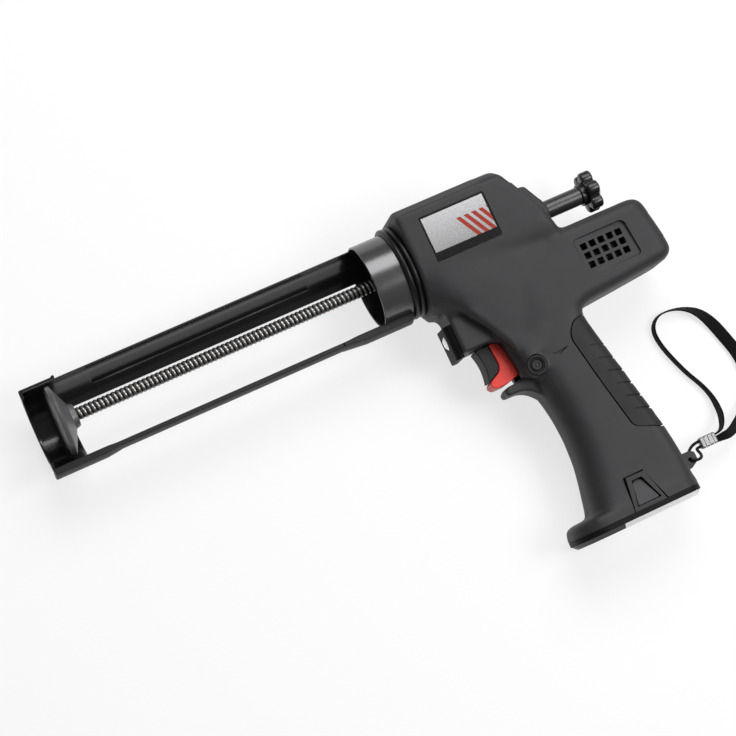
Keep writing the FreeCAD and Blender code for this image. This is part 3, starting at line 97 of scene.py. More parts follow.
# Route of the thin cord and of the webbing, in metres
CORD_ROUTE = (
    (0.158, -0.1763, -0.0115), (0.1545, -0.1763, -0.0115), (0.149, -0.1788, -0.009),
    (0.1446, -0.183, -0.0055), (0.1432, -0.1846, 0.0), (0.1444, -0.1862, 0.0048),
    (0.1494, -0.1868, 0.0052), (0.1526, -0.1846, -0.0005), (0.1536, -0.1802, -0.0085),
    (0.156, -0.1798, -0.0115), (0.158, -0.1798, -0.0115),
)
STRAP_ROUTE = (
    (0.17, -0.1764, -0.0115), (0.1745, -0.1764, -0.0115), (0.18, -0.1715, -0.016),
    (0.1838, -0.1635, -0.0215), (0.1842, -0.1535, -0.0246), (0.1813, -0.1435, -0.0256),
    (0.176, -0.133, -0.026), (0.171, -0.119, -0.0265), (0.1678, -0.1065, -0.027),
    (0.1682, -0.0965, -0.0273), (0.1745, -0.0903, -0.0275), (0.1845, -0.0898, -0.0276),
    (0.195, -0.093, -0.0275), (0.2025, -0.0995, -0.0272), (0.2072, -0.1088, -0.0268),
    (0.2106, -0.121, -0.0263), (0.2138, -0.1335, -0.0258), (0.214, -0.148, -0.0252),
    (0.2086, -0.1613, -0.0244), (0.199, -0.171, -0.022), (0.188, -0.177, -0.0175),
    (0.18, -0.1798, -0.013), (0.1755, -0.1798, -0.0115), (0.17, -0.1798, -0.0115),
)

# Where the floor touches the head's side and the foot's, as y and z in millimetres
HEAD_REST = (-3.3, -33.1)
FOOT_REST = (-206, -25.1)
# Half the floor's width, in metres
FLOOR_SIZE = 40.0

# The camera: its lens in pixels of the picture, its place in metres and the way it is turned
PICTURE_PIXELS = 736
FOCAL_PIXELS = 2100
SENSOR_WIDTH = 36
CAMERA_PLACE = (-0.2794, -0.1786, 1.2911)
CAMERA_RIGHT = (0.8965, -0.4214, 0.1365)
CAMERA_BACK = (-0.1954, -0.0996, 0.9757)


# Sizes and colours that a user may change
class CaulkerSizes(bpy.types.PropertyGroup):
    skin_step: FloatProperty(
        name="Skin step", description="Grid step of the moulded skin", default=0.9 * MM, unit="LENGTH")
    seam_gap: FloatProperty(
        name="Seam gap", description="Half the gap between the two shells", default=0.1 * MM, unit="LENGTH")
    pad_depth: FloatProperty(
        name="Pad depth", description="Thickness of the rubber backstrap", default=2.6 * MM, unit="LENGTH")
    thread_pitch: FloatProperty(
        name="Thread pitch", description="Pitch of the spindle's thread", default=3 * MM, unit="LENGTH")
    webbing_width: FloatProperty(
        name="Webbing width", description="Width of the wrist strap's webbing", default=9 * MM, unit="LENGTH")
    webbing_depth: FloatProperty(
        name="Webbing thickness", description="Thickness of the webbing", default=1.1 * MM, unit="LENGTH")
    turn_steps: IntProperty(
        name="Turn steps", description="Steps of a full turn on round pieces", default=96, min=24, max=256)


class CaulkerColours(bpy.types.PropertyGroup):
    housing: FloatVectorProperty(
        name="Housing", description="Moulded housing", subtype="COLOR", default=(0.026, 0.026, 0.0285))
    housing_deep: FloatVectorProperty(
        name="Housing, deep", description="Darker patches of the housing", subtype="COLOR",
        default=(0.021, 0.021, 0.023))
    paint: FloatVectorProperty(
        name="Cradle paint", description="Gloss paint of the cradle", subtype="COLOR",
        default=(0.012, 0.012, 0.013))
    rubber: FloatVectorProperty(
        name="Rubber", description="Backstrap and trigger face", subtype="COLOR",
        default=(0.013, 0.013, 0.014))
    trigger: FloatVectorProperty(
        name="Trigger", description="Red side of the trigger", subtype="COLOR", default=(0.7, 0.05, 0.038))
    silver: FloatVectorProperty(
        name="Label", description="Silver field of the label", subtype="COLOR", default=(0.5, 0.5, 0.51))
    floor: FloatVectorProperty(
        name="Floor", description="Pale floor", subtype="COLOR", default=(0.9, 0.9, 0.9))


def sizes():
    return bpy.context.scene.caulker_sizes


def colours():
    return bpy.context.scene.caulker_colours


# Shapes
def at(across, u, v, level):
    """A point in metres from millimetres in the plane across an axis and its level along that axis."""
    places = {"x": (level, u, v), "y": (u, level, v), "z": (u, v, level)}
    return Vector(places[across]) * MM


def arm(across):
    """The way that a turn about an axis starts from."""
    return ALONG["y"] if across == "x" else ALONG["x"]


def both_sides(low, high):
    """Two levels on the left side and their mirror image on the right, each with its name and sign."""
    return ("left", 1, low, high), ("right", -1, -high, -low)


def rectangle(x, y, *corner):
    """Four corners from two ranges, each rounded if a size is given for it."""
    return [(u, v, *corner) for u, v in ((x[0], y[0]), (x[1], y[0]), (x[1], y[1]), (x[0], y[1]))]


def rounded(bm, edges, size, segments):
    bmesh.ops.bevel(
        bm, geom=edges, offset=size * MM, offset_type="OFFSET", segments=segments, profile=0.5,
        affect="EDGES", clamp_overlap=True, material=-1)


def softened(bm, size, sharp=0.6):
    """Rounds the edges of a shape that turn by more than an angle in radians."""
    rounded(bm, [edge for edge in bm.edges if edge.calc_face_angle(0) > sharp], size, 2)
    return bm


def drawn_out(bm, face, way):
    """Extrudes a face into a solid."""
    drawn = bmesh.ops.extrude_face_region(bm, geom=face)
    moved = [item for item in drawn["geom"] if isinstance(item, bmesh.types.BMVert)]
    bmesh.ops.translate(bm, verts=moved, vec=way * MM)


def prism(corners, low, high, across="z", rim=0.0, segments=4, ends=(True, True)):
    """A flat outline drawn out along an axis. A corner's third value rounds it, rim rounds the ends."""
    bm = bmesh.new()
    face = bm.faces.new([bm.verts.new(at(across, *corner[:2], low)) for corner in corners])
    drawn_out(bm, [face], ALONG[across] * (high - low))
    bmesh.ops.recalc_face_normals(bm, faces=bm.faces[:])
    for u, v, *corner in corners:
        if corner:
            tips = [at(across, u, v, level) for level in (low, high)]
            edges = [
                edge for edge in bm.edges
                if all(min((vert.co - tip).length for tip in tips) < CLOSE for vert in edge.verts)
            ]
            rounded(bm, edges, corner[0], 2 * segments)
    if rim:
        axis = "xyz".index(across)
        levels = [level * MM for level, wanted in zip((low, high), ends) if wanted]
        edges = [
            edge for edge in bm.edges
            if any(all(abs(vert.co[axis] - level) < CLOSE for vert in edge.verts) for level in levels)
        ]
        rounded(bm, edges, rim, segments)
    return bm


def block(x, y, z, rim=0.0):
    bm = prism(rectangle(x, y), *z)
    if rim:
        rounded(bm, bm.edges[:], rim, 3)
    return bm


def spun(profile, across="x", centre=(0.0, 0.0), start=0, turn=360):
    """A profile of (place along the axis, radius) in millimetres, turned about that axis by degrees.

    A full turn joins the ends of the profile, unless it starts on the axis.
    """
    bm = bmesh.new()
    axis = ALONG[across]
    pivot = at(across, *centre, 0)
    aim = Matrix.Rotation(math.radians(start), 3, axis) @ arm(across)
    verts = [bm.verts.new(pivot + axis * place * MM + aim * radius * MM) for place, radius in profile]
    full = turn == 360
    if full:
        ends = [(verts[-1], verts[0])] if profile[0][1] else []
        geom = verts + [bm.edges.new(pair) for pair in [*zip(verts, verts[1:]), *ends]]
    else:
        geom = [bm.faces.new(verts)]
    steps = max(8, round(sizes().turn_steps * abs(turn) / 360))
    bmesh.ops.spin(
        bm, geom=geom, cent=pivot, axis=axis, angle=math.radians(turn), steps=steps, use_merge=full)
    bmesh.ops.remove_doubles(bm, verts=bm.verts[:], dist=CLOSE)
    bmesh.ops.recalc_face_normals(bm, faces=bm.faces[:])
    return bm


def rod(low, high, radius, across="x", centre=(0.0, 0.0), rim=0.0):
    profile = [(low, 0), (low, radius), (high, radius), (high, 0)]
    if rim:
        profile[1:3] = [(low, radius - rim), (low + rim, radius), (high - rim, radius), (high, radius - rim)]
    return spun(profile, across, centre)


def lofted(rings):
    """A closed shape bridged from one ring of points to the next."""
    bm = bmesh.new()
    loops = []
    for ring in rings:
        verts = [bm.verts.new(point) for point in ring]
        loops.append([bm.edges.new(pair) for pair in zip(verts, verts[1:] + verts[:1])])
    for first, second in zip(loops, loops[1:]):
        bmesh.ops.bridge_loops(bm, edges=first + second)
    for loop in (loops[0], loops[-1]):
        bmesh.ops.edgeloop_fill(bm, edges=loop)
    bmesh.ops.recalc_face_normals(bm, faces=bm.faces[:])
    return bm


def leaned(bm, along, up, level=0.0, verts=None):
    """Leans a shape's height with its place along x, and along y from a level."""
    lean = Matrix(((1, 0, 0, 0), (0, 1, 0, 0), (along, up, 1, -up * level * MM), (0, 0, 0, 1)))
    bmesh.ops.transform(bm, matrix=lean, verts=verts or bm.verts[:])
    return bm


def mesh_of(bm, name="shape"):
    """A mesh from a bmesh, which is freed."""
    mesh = bpy.data.meshes.new(name)
    bm.to_mesh(mesh)
    bm.free()
    return mesh


def own_mesh(shape):
    """A mesh to work on: that of a bmesh, which is freed, or a copy of a mesh."""
    return mesh_of(shape) if isinstance(shape, bmesh.types.BMesh) else shape.copy()


def placed(name, data):
    """A new object in the scene."""
    thing = bpy.data.objects.new(name, data)
    bpy.context.scene.collection.objects.link(thing)
    return thing


def gathered(parts):
    """One bmesh from several, which are freed."""
    whole = bmesh.new()
    for part in parts:
        mesh = mesh_of(part)
        whole.from_mesh(mesh)
        bpy.data.meshes.remove(mesh)
    return whole


def evaluated(thing):
    """A new mesh of an object as its modifiers or its curve settings make it."""
    graph = bpy.context.evaluated_depsgraph_get()
    return bpy.data.meshes.new_from_object(thing.evaluated_get(graph))


def settled(thing):
    """The mesh of an object with its modifiers applied; the object goes with its old mesh."""
    mesh = evaluated(thing)
    bpy.data.meshes.remove(thing.data)
    return mesh


def carved(shape, tools, operation="DIFFERENCE"):
    """A mesh cut by, or joined or shared with, other shapes. Each bmesh is used up, each mesh is kept."""
    base = placed("base", own_mesh(shape))
    shelf = bpy.data.collections.new("shelf")
    bpy.context.scene.collection.children.link(shelf)
    for tool in tools:
        shelf.objects.link(bpy.data.objects.new("tool", own_mesh(tool)))
    cut = base.modifiers.new("cut", "BOOLEAN")
    cut.operation = operation
    cut.operand_type = "COLLECTION"
    cut.collection = shelf
    cut.solver = "MANIFOLD"
    result = settled(base)
    for tool in list(shelf.objects):
        bpy.data.meshes.remove(tool.data)
    bpy.data.collections.remove(shelf)
    if not result.polygons:
        raise RuntimeError("a cut left nothing")
    bm = bmesh.new()
    bm.from_mesh(result)
    bmesh.ops.dissolve_degenerate(bm, dist=CLOSE, edges=bm.edges[:])
    bm.to_mesh(result)
    bm.free()
    return result


def piece(name, shape, finish, body, slot, *replaced, sharp=35):
    """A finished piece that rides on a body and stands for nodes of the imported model."""
    mesh = mesh_of(shape) if isinstance(shape, bmesh.types.BMesh) else shape
    mesh.name = name
    mesh.materials.clear()
    mesh.materials.append(finish)
    mesh.shade_smooth()
    mesh.set_sharp_from_angle(angle=math.radians(sharp))
    thing = placed(name, mesh)
    flat = thing.modifiers.new("flat", "WEIGHTED_NORMAL")
    flat.keep_sharp = True
    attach(thing, body)
    if replaced:
        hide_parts(*replaced)
    return thing


# Shader nodes
def feed(tree, slot, value):
    """Links an input to a socket, or sets its own value."""
    if isinstance(value, bpy.types.NodeSocket):
        tree.links.new(value, slot)
    else:
        slot.default_value = value


def fill(tree, node, **inputs):
    """Feeds a node's inputs by their names, with _ for a space."""
    for key, value in inputs.items():
        feed(tree, node.inputs[key.replace("_", " ")], value)


def add(tree, kind, settings=None, **inputs):
    made = tree.nodes.new("ShaderNode" + kind)
    for key, value in (settings or {}).items():
        setattr(made, key, value)
    fill(tree, made, **inputs)
    return made


def place_on(tree, kind="Object"):
    """The place on a piece, or on its own map with kind UV."""
    return add(tree, "TexCoord").outputs[kind]


def noise(tree, size, detail=3.0):
    """A noise whose patches are about a size in millimetres."""
    return add(tree, "TexNoise", Vector=place_on(tree), Scale=1 / (size * MM), Detail=detail).outputs["Fac"]


def spread(tree, value, low, high, span=(0.3, 0.7)):
    """Maps a span of a value, by default the middle of a noise, to a new range."""
    made = add(tree, "MapRange", Value=value, From_Min=span[0], From_Max=span[1], To_Min=low, To_Max=high)
    return made.outputs["Result"]


def blended(tree, factor, first, second):
    """A mix of two colours, each a socket or a plain shade."""
    made = add(tree, "Mix", {"data_type": "RGBA"})
    feed(tree, made.inputs[0], factor)
    for slot, shade in ((6, first), (7, second)):
        feed(tree, made.inputs[slot], shade if isinstance(shade, bpy.types.NodeSocket) else (*shade, 1.0))
    return made.outputs[2]


def worked(tree, operation, *values):
    made = add(tree, "Math", {"operation": operation})
    for slot, value in zip(made.inputs, values):
        feed(tree, slot, value)
    return made.outputs[0]


def beyond(tree, place, middle, reach):
    """Whether a place lies further than a reach from a middle, both in millimetres."""
    away = worked(tree, "ABSOLUTE", worked(tree, "SUBTRACT", place, middle * MM))
    return worked(tree, "GREATER_THAN", away, reach * MM)


def bumped(tree, shader, height, strength, depth):
    made = add(tree, "Bump", Height=height, Strength=strength, Distance=depth * MM)
    fill(tree, shader, Normal=made.outputs["Normal"])


def grained(tree, shader, size, rough, bump, depth=0.1, detail=3.0):
    """Gives a surface a fine grain, which also varies its roughness."""
    fine = noise(tree, size, detail)
    fill(tree, shader, Roughness=spread(tree, fine, *rough))
    bumped(tree, shader, fine, bump, depth)
    return fine


def strands(tree, direction, scale, distortion):
    """Rows of thread over a cord's own map."""
    made = add(
        tree, "TexWave", {"bands_direction": direction}, Vector=place_on(tree, "UV"), Scale=scale,
        Distortion=distortion, Detail=1.0)
    return made.outputs["Fac"]


def times(factor, shade):
    return [factor * part for part in shade]


# Finishes
FINISHES = {}


def fresh(name):
    """A new finish, with its node tree and its shader."""
    material = bpy.data.materials.new(name + "_finish")
    material.use_nodes = True
    return material, material.node_tree, material.node_tree.nodes["Principled BSDF"]


def moulded(name, deep, pale, grain, rough, bump, patch=18.0, metallic=0.0, coat=0.0, specular=0.5):
    """Plastic, paint, rubber or metal with broad patches of shade and a fine grain. It is made once.

    The patches run from a deep shade to a pale one. Grain and patch are widths in millimetres, rough is a
    range of roughness and bump is the grain's strength.
    """
    if name not in FINISHES:
        FINISHES[name], tree, shader = fresh(name)
        broad = spread(tree, noise(tree, patch, 4.0), 0.0, 1.0)
        grained(tree, shader, grain, rough, bump, 0.25 * grain, 2.0)
        fill(tree, shader, Base_Color=blended(tree, broad, deep, pale), Metallic=metallic,
             Specular_IOR_Level=specular, Coat_Weight=coat, Coat_Roughness=0.08)
    return FINISHES[name]


def housing_plastic():
    deep, pale = colours().housing_deep, colours().housing
    return moulded("housing_plastic", deep, pale, 0.45, (0.46, 0.6), 0.22, 30.0, specular=0.3)


def latch_plastic_painted_lighter():
    """The latches' faces: a paler copy of the housing plastic, painted lighter for the light that their
    sloped faces catch.
    """
    deep, pale = (times(1.75, shade) for shade in (colours().housing_deep, colours().housing))
    return moulded("latch_plastic_painted_lighter", deep, pale, 0.45, (0.4, 0.54), 0.18, 12.0, specular=0.3)


def cradle_paint():
    paint = colours().paint
    return moulded("cradle_paint", paint, times(1.3, paint), 1.6, (0.16, 0.24), 0.05, 40.0, coat=0.25,
                   specular=0.4)


def rail_paint():
    """Rubbed paint of the rail, duller than the trough's."""
    return moulded("rail_paint", (0.008, 0.008, 0.0085), (0.012, 0.012, 0.0125), 1.2, (0.42, 0.54), 0.08,
                   40.0, specular=0.2)


def collar_satin():
    """Satin paint of the collar, which shows a broad highlight."""
    return moulded("collar_satin", (0.09, 0.09, 0.092), (0.118, 0.118, 0.121), 0.5, (0.2, 0.26), 0.06, 40.0,
                   metallic=0.7)


def painted_bead_highlight():
    """Paint along the trough's bead made paler and metal-like: a painted highlight for the bright line that
    runs along it.
    """
    return moulded("painted_bead_highlight", (0.03, 0.03, 0.031), (0.2, 0.2, 0.205), 1.2, (0.3, 0.44), 0.1, 26.0,
                   metallic=0.6)


def soft_rubber():
    rubber = colours().rubber
    return moulded("soft_rubber", rubber, times(1.4, rubber), 0.4, (0.5, 0.64), 0.25, specular=0.25)


def gasket_rubber():
    return moulded("gasket_rubber", (0.003, 0.003, 0.0034), (0.005, 0.005, 0.0055), 0.6, (0.34, 0.44), 0.1,
                   specular=0.3)


def gloss_plastic():
    return moulded("gloss_plastic", (0.011, 0.011, 0.012), (0.016, 0.016, 0.017), 0.8, (0.2, 0.3), 0.06,
                   specular=0.35)


def band_black():
    """Dead black moulding of the battery's base and of the lamp's frame."""
    return moulded("band_black", (0.003, 0.003, 0.0034), (0.006, 0.006, 0.0064), 0.5, (0.48, 0.6), 0.12,
                   specular=0.12)


def satin_black():
    return moulded("satin_black", (0.016, 0.016, 0.017), (0.024, 0.024, 0.026), 0.5, (0.4, 0.52), 0.15,
                   specular=0.25)


def sleeve_black():
    return moulded("sleeve_black", (0.018, 0.018, 0.019), (0.026, 0.026, 0.028), 0.4, (0.26, 0.36), 0.08)


def plunger_paint():
    return moulded("plunger_paint", (0.085, 0.085, 0.088), (0.115, 0.115, 0.12), 0.8, (0.34, 0.48), 0.12,
                   metallic=0.3)


def trigger_red():
    red = colours().trigger
    return moulded("trigger_red", times(0.85, red), red, 0.5, (0.32, 0.42), 0.1, specular=0.3)


def bright_steel():
    return moulded("bright_steel", (0.36, 0.36, 0.37), (0.5, 0.5, 0.51), 0.35, (0.24, 0.36), 0.12,
                   metallic=1.0)


def crimp_steel():
    return moulded("crimp_steel", (0.19, 0.19, 0.193), (0.27, 0.27, 0.274), 0.35, (0.4, 0.52), 0.15,
                   metallic=1.0)


def dull_steel():
    return moulded("dull_steel", (0.3, 0.3, 0.31), (0.42, 0.42, 0.43), 0.4, (0.35, 0.5), 0.15, metallic=1.0)


def bush_bronze():
    return moulded("bush_bronze", (0.4, 0.25, 0.12), (0.52, 0.34, 0.17), 0.4, (0.3, 0.45), 0.15, metallic=1.0)


def contact_brass():
    return moulded("contact_brass", (0.66, 0.47, 0.18), (0.78, 0.57, 0.25), 0.4, (0.2, 0.35), 0.1,
                   metallic=1.0)


def armature_copper():
    return moulded("armature_copper", (0.5, 0.2, 0.1), (0.7, 0.32, 0.17), 0.5, (0.25, 0.4), 0.3, 4.0,
                   metallic=1.0)


def board_green():
    return moulded("board_green", (0.015, 0.09, 0.035), (0.025, 0.14, 0.055), 0.6, (0.25, 0.4), 0.1, 5.0)


def cell_wrap():
    return moulded("cell_wrap", (0.02, 0.12, 0.3), (0.03, 0.16, 0.37), 0.6, (0.25, 0.35), 0.05)


def guide_plastic():
    return moulded("guide_plastic", (0.2, 0.2, 0.19), (0.26, 0.26, 0.25), 0.5, (0.4, 0.55), 0.1)


def led_white():
    return moulded("led_white", (0.75, 0.76, 0.78), (0.88, 0.89, 0.9), 0.5, (0.2, 0.3), 0.05)


def plate_film():
    """White film under the battery's base, bare, with the dark moulding ahead of it and behind it."""
    material, tree, shader = fresh("plate_film")
    x = add(tree, "SeparateXYZ", Vector=place_on(tree)).outputs["X"]
    ends = beyond(tree, x, 107, 27)
    fine = grained(tree, shader, 0.5, (0.4, 0.52), 0.06)
    film = blended(tree, fine, (0.8, 0.8, 0.8), (0.86, 0.86, 0.86))
    fill(tree, shader, Base_Color=blended(tree, ends, film, (0.05, 0.05, 0.053)), Specular_IOR_Level=0.3)
    return material


def lens_clear():
    material, tree, shader = fresh("lens_clear")
    grained(tree, shader, 0.6, (0.02, 0.08), 0.05)
    # The window's faint glow is painted light, standing in for a white highlight on it.
    fill(tree, shader, Base_Color=(0.86, 0.88, 0.9, 1.0), Transmission_Weight=0.15, IOR=1.49,
         Emission_Color=(1.0, 1.0, 1.0, 1.0), Emission_Strength=0.3)
    return material


def thread_steel_painted_crests():
    """Dark steel, with a painted highlight on the thread's crests."""
    material, tree, shader = fresh("thread_steel_painted_crests")
    flat = add(tree, "Mapping", Vector=place_on(tree), Scale=(0.0, 1.0, 1.0))
    reach = add(tree, "VectorMath", {"operation": "LENGTH"}, Vector=flat.outputs["Vector"])
    crest_highlight = spread(tree, reach.outputs["Value"], 0.0, 1.0, (3.72 * MM, 4.05 * MM))
    grained(tree, shader, 0.5, (0.26, 0.4), 0.12)
    # The crests' pale shade is a painted highlight; the grooves keep the steel's dark tone.
    shade = blended(tree, crest_highlight, (0.024, 0.024, 0.025), (0.3, 0.288, 0.272))
    fill(tree, shader, Base_Color=shade, Metallic=0.9)
    return material


def woven_black():
    """Black webbing: ribs across the width and fine threads along it."""
    material, tree, shader = fresh("woven_black")
    height = worked(tree, "MULTIPLY", strands(tree, "Y", 0.5, 0.3), strands(tree, "X", 0.85, 0.4))
    shade = blended(tree, height, (0.0015, 0.0015, 0.0018), (0.007, 0.007, 0.0075))
    fill(tree, shader, Base_Color=shade, Roughness=spread(tree, height, 0.85, 0.6, (0.0, 1.0)),
         Sheen_Weight=0.02, Specular_IOR_Level=0.12)
    bumped(tree, shader, height, 0.6, 0.3)
    return material


def braided_black():
    """Thin braided cord, with slanting strands."""
    material, tree, shader = fresh("braided_black")
    height = strands(tree, "DIAGONAL", 0.6, 0.2)
    shade = blended(tree, height, (0.002, 0.002, 0.0022), (0.008, 0.008, 0.0085))
    fill(tree, shader, Base_Color=shade, Roughness=spread(tree, height, 0.8, 0.55, (0.0, 1.0)),
         Specular_IOR_Level=0.2)
    bumped(tree, shader, height, 0.6, 0.25)
    return material


def label_film():
    """Silver field with slanting red bars at its lower right and a bare dark bar below, in a dark frame."""
    material, tree, shader = fresh("label_film")
    parts = add(tree, "SeparateXYZ", Vector=place_on(tree))
    x, y = parts.outputs["X"], parts.outputs["Y"]
    silver = colours().silver
    field = blended(tree, spread(tree, y, 0.0, 1.0, (-2 * MM, 22 * MM)), times(0.6, silver), silver)
    slant = worked(tree, "ADD", x, worked(tree, "MULTIPLY", y, 0.55))
    bars = worked(tree, "LESS_THAN", worked(tree, "PINGPONG", slant, 2.6 * MM), 1.5 * MM)
    right = worked(tree, "GREATER_THAN", slant, 69 * MM)
    low = worked(tree, "LESS_THAN", y, 13.5 * MM)
    red = worked(tree, "MULTIPLY", worked(tree, "MULTIPLY", bars, right), low)
    frame_edge = worked(tree, "MAXIMUM", beyond(tree, x, 64.25, 21.4), beyond(tree, y, 7.75, 13.9))
    dark = worked(tree, "MAXIMUM", frame_edge, worked(tree, "LESS_THAN", y, -1.6 * MM))
    shade = blended(tree, red, field, (0.3, 0.035, 0.022))
    shade = blended(tree, dark, shade, (0.004, 0.004, 0.0045))
    grained(tree, shader, 0.5, (0.23, 0.31), 0.02)
    fill(tree, shader, Base_Color=shade, Metallic=spread(tree, dark, 0.35, 0.0, (0.0, 1.0)),
         Specular_IOR_Level=0.2)
    return material


def floor_pale():
    """Pale floor that shows white to the camera and keeps the shadow."""
    material, tree, shader = fresh("floor_pale")
    tree.nodes.remove(shader)
    pale = colours().floor
    diffuse = add(tree, "BsdfDiffuse", Color=blended(tree, noise(tree, 60.0), times(0.98, pale), pale))
    glow = add(tree, "Emission", Strength=1.0)
    path = add(tree, "LightPath").outputs
    seen = worked(tree, "MAXIMUM", path["Is Camera Ray"], path["Is Glossy Ray"])
    seen = worked(tree, "MAXIMUM", seen, path["Is Transmission Ray"])
    share = worked(tree, "MULTIPLY", seen, 0.72)
    mix = add(tree, "MixShader")
    for slot, value in zip(mix.inputs, (share, diffuse.outputs[0], glow.outputs[0])):
        feed(tree, slot, value)
    fill(tree, tree.nodes["Material Output"], Surface=mix.outputs[0])
    return material


# Housing: the moulded form, its rooms and its two halves
def head_form():
    """The head: flat sides, a round below, a slope down at the rear."""
    bm = bmesh.new()
    top, top_half, shoulder, middle, length = 34, 24, 28.5, -2, 96
    corners = ((top, top_half), (shoulder, HEAD_HALF), (middle, HEAD_HALF))
    side = [bm.verts.new(at("x", y, z, HEAD_FRONT)) for y, z in corners]
    for pair in zip(side, side[1:]):
        bm.edges.new(pair)
    turned = bmesh.ops.spin(
        bm, geom=[side[-1]], cent=at("x", middle, 0, HEAD_FRONT), axis=ALONG["x"], angle=math.pi, steps=24)
    bottom = turned["geom_last"][0]
    if abs(bottom.co.z + HEAD_HALF * MM) > 0.1 * MM:
        raise RuntimeError("the round of the head went the wrong way")
    last = [bm.verts.new(at("x", y, z, HEAD_FRONT)) for y, z in ((shoulder, -HEAD_HALF), (top, -top_half))]
    for pair in ((bottom, last[0]), (last[0], last[1]), (last[1], side[0])):
        bm.edges.new(pair)
    drawn_out(bm, bmesh.ops.contextual_create(bm, geom=bm.edges[:])["faces"], ALONG["x"] * length)
    slope = Vector((48, 24, 0)).normalized()
    knee = at("z", 100, top, 0)
    cut = bmesh.ops.bisect_plane(
        bm, geom=bm.verts[:] + bm.edges[:] + bm.faces[:], plane_co=knee, plane_no=slope, clear_outer=True)
    rim = [item for item in cut["geom_cut"] if isinstance(item, bmesh.types.BMEdge)]
    bmesh.ops.edgeloop_fill(bm, edges=rim)
    bmesh.ops.remove_doubles(bm, verts=bm.verts[:], dist=CLOSE)
    bmesh.ops.recalc_face_normals(bm, faces=bm.faces[:])
    rear = [
        edge for edge in bm.edges
        if all(abs((vert.co - knee).dot(slope)) < CLOSE and vert.co.y > -3 * MM for vert in edge.verts)
    ]
    rounded(bm, rear, 12, 5)
    nose = [
        edge for edge in bm.edges
        if all(abs(vert.co.x - HEAD_FRONT * MM) < CLOSE for vert in edge.verts)
    ]
    rounded(bm, nose, 2.5, 2)
    return bm


def flank_form():
    """Fills the flank from the head's side down to the lip over the trigger, and fades out to the rear."""
    sections = (
        (29, ((6, 32.4), (-8, 31.6), (-20, 27.6), (-30, 20), (-34.6, 11))),
        (42, ((6, 33), (-8, 32.4), (-22, 30), (-31.5, 27.4), (-39, 20))),
        (60, ((6, 33), (-8, 32), (-24, 29.4), (-42, 26.8), (-61, 25))),
        (84, ((4, 33), (-8, 30.8), (-22, 28.6), (-42, 26.8), (-70, 25))),
        (108, ((0, 29), (-8, 28.2), (-18, 27.4), (-40, 26.5), (-70, 25))),
    )
    rings = []
    for x, side in sections:
        near_side = [at("x", y, z, x) for y, z in side]
        far_side = [at("x", y, -z, x) for y, z in reversed(side)]
        rings.append(near_side + far_side)
    return lofted(rings)


def lobe_form():
    """The motor's lobe, which swells out of the neck and ends in a rounded tail."""
    sections = (
        ((58, -64), (58, -20), 22.5), ((90, -69.9), (90, -17), 27), ((188.6, -61.2), (182.2, -17), 27),
    )
    bm = lofted([
        [at("z", *low, half), at("z", *high, half), at("z", *high, -half), at("z", *low, -half)]
        for low, high, half in sections
    ])
    edges = [edge for edge in bm.edges if max(vert.co.x for vert in edge.verts) > 95 * MM]
    rounded(bm, edges, 7, 6)
    return bm


def neck_form():
    corners = ((44, -30), (44, -43, 8), (60, -62, 16), (69, -89), (99, -73), (119, -68), (119, -28))
    return prism(corners, -25, 25, rim=2.5, segments=4)


def grip_form(inset=0.0):
    """The grip from the neck to the foot, or its inside at a depth."""
    levels = (
        (-40, 71, 115, 25), (-66, 71, 115.4, 25.2), (-80, 70.6, 118, 24.4), (-95, 70.6, 121.2, 22.6),
        (-104, 71.4, 123.2, 21.6), (-112, 72.4, 124.9, 20.9), (-125, 74.3, 127.4, 20.2),
        (-140, 75, 130.6, 20), (-157, 73.8, 134.2, 20), (-170, 71.4, 135.8, 20.4),
        (-182, 68.8, 136.4, 21.8), (-188, 67.8, 136.4, 23), (-193, 67.2, 136, 23.8),
    )
    rings = []
    for level, front, rear, half in levels:
        wide = half - inset
        corners = rectangle((front + inset, rear - inset), (-wide, wide))
        rings.append([at("y", x, z, level) for x, z in corners])
    bm = lofted(rings)
    middle = 100 * MM
    for ahead, size in ((True, 15 - inset), (False, 8.5 - inset)):
        edges = [
            edge for edge in bm.edges
            if abs(edge.verts[0].co.y - edge.verts[1].co.y) > MM and (edge.verts[0].co.x < middle) == ahead
            and len({vert.co.z > 0 for vert in edge.verts}) == 1
            and edge.calc_face_angle(0) > 1
        ]
        rounded(bm, edges, size, 6)
    return bm


def foot_form():
    return prism(FOOT_PLAN, -203, -191, "y", rim=4, segments=4, ends=(False, True))


def trigger_block_form():
    corners = ((36, -64.5), (54, -64.5), (61, -68), (64.2, -94.5), (73.3, -94.5), (73.3, -36), (36, -36))
    return prism(corners, -16.5, 16.5, rim=1.6, segments=3)


def hook_form():
    corners = (
        (50.5, -97.5), (51.5, -100.5, 0.8), (64.2, -100.5, 6), (72, -109), (76.3, -109), (76.3, -94.5),
        (53.5, -94.5, 1.5),
    )
    return prism(corners, -10, 10, rim=1.5, segments=3)


def boss_form():
    corners = ((100, -11), (126, -11), (126, 1, 2), (117.4, 18, 1.5), (100, 18))
    return prism(corners, -18.5, 18.5, rim=1, segments=3)


def selector_boss_form():
    return rod(-23.4, 23.4, 7.6, "z", SELECTOR_AXIS, rim=0.8)


def soften(bm, rounds, inside=lambda x, y, z: True):
    """Smooths the skin where a test of the place in millimetres holds."""
    verts = [vert for vert in bm.verts if inside(*(vert.co / MM))]
    for _ in range(rounds):
        bmesh.ops.smooth_vert(bm, verts=verts, factor=0.5, use_axis_x=True, use_axis_y=True, use_axis_z=True)


def near(x, y, reach):
    return lambda px, py, pz: math.hypot(px - x, py - y) < reach


def within(x, y, off=-1):
    """A test for two ranges, and for a place further off the middle plane than a distance."""
    return lambda px, py, pz: x[0] < px < x[1] and y[0] < py < y[1] and abs(pz) > off


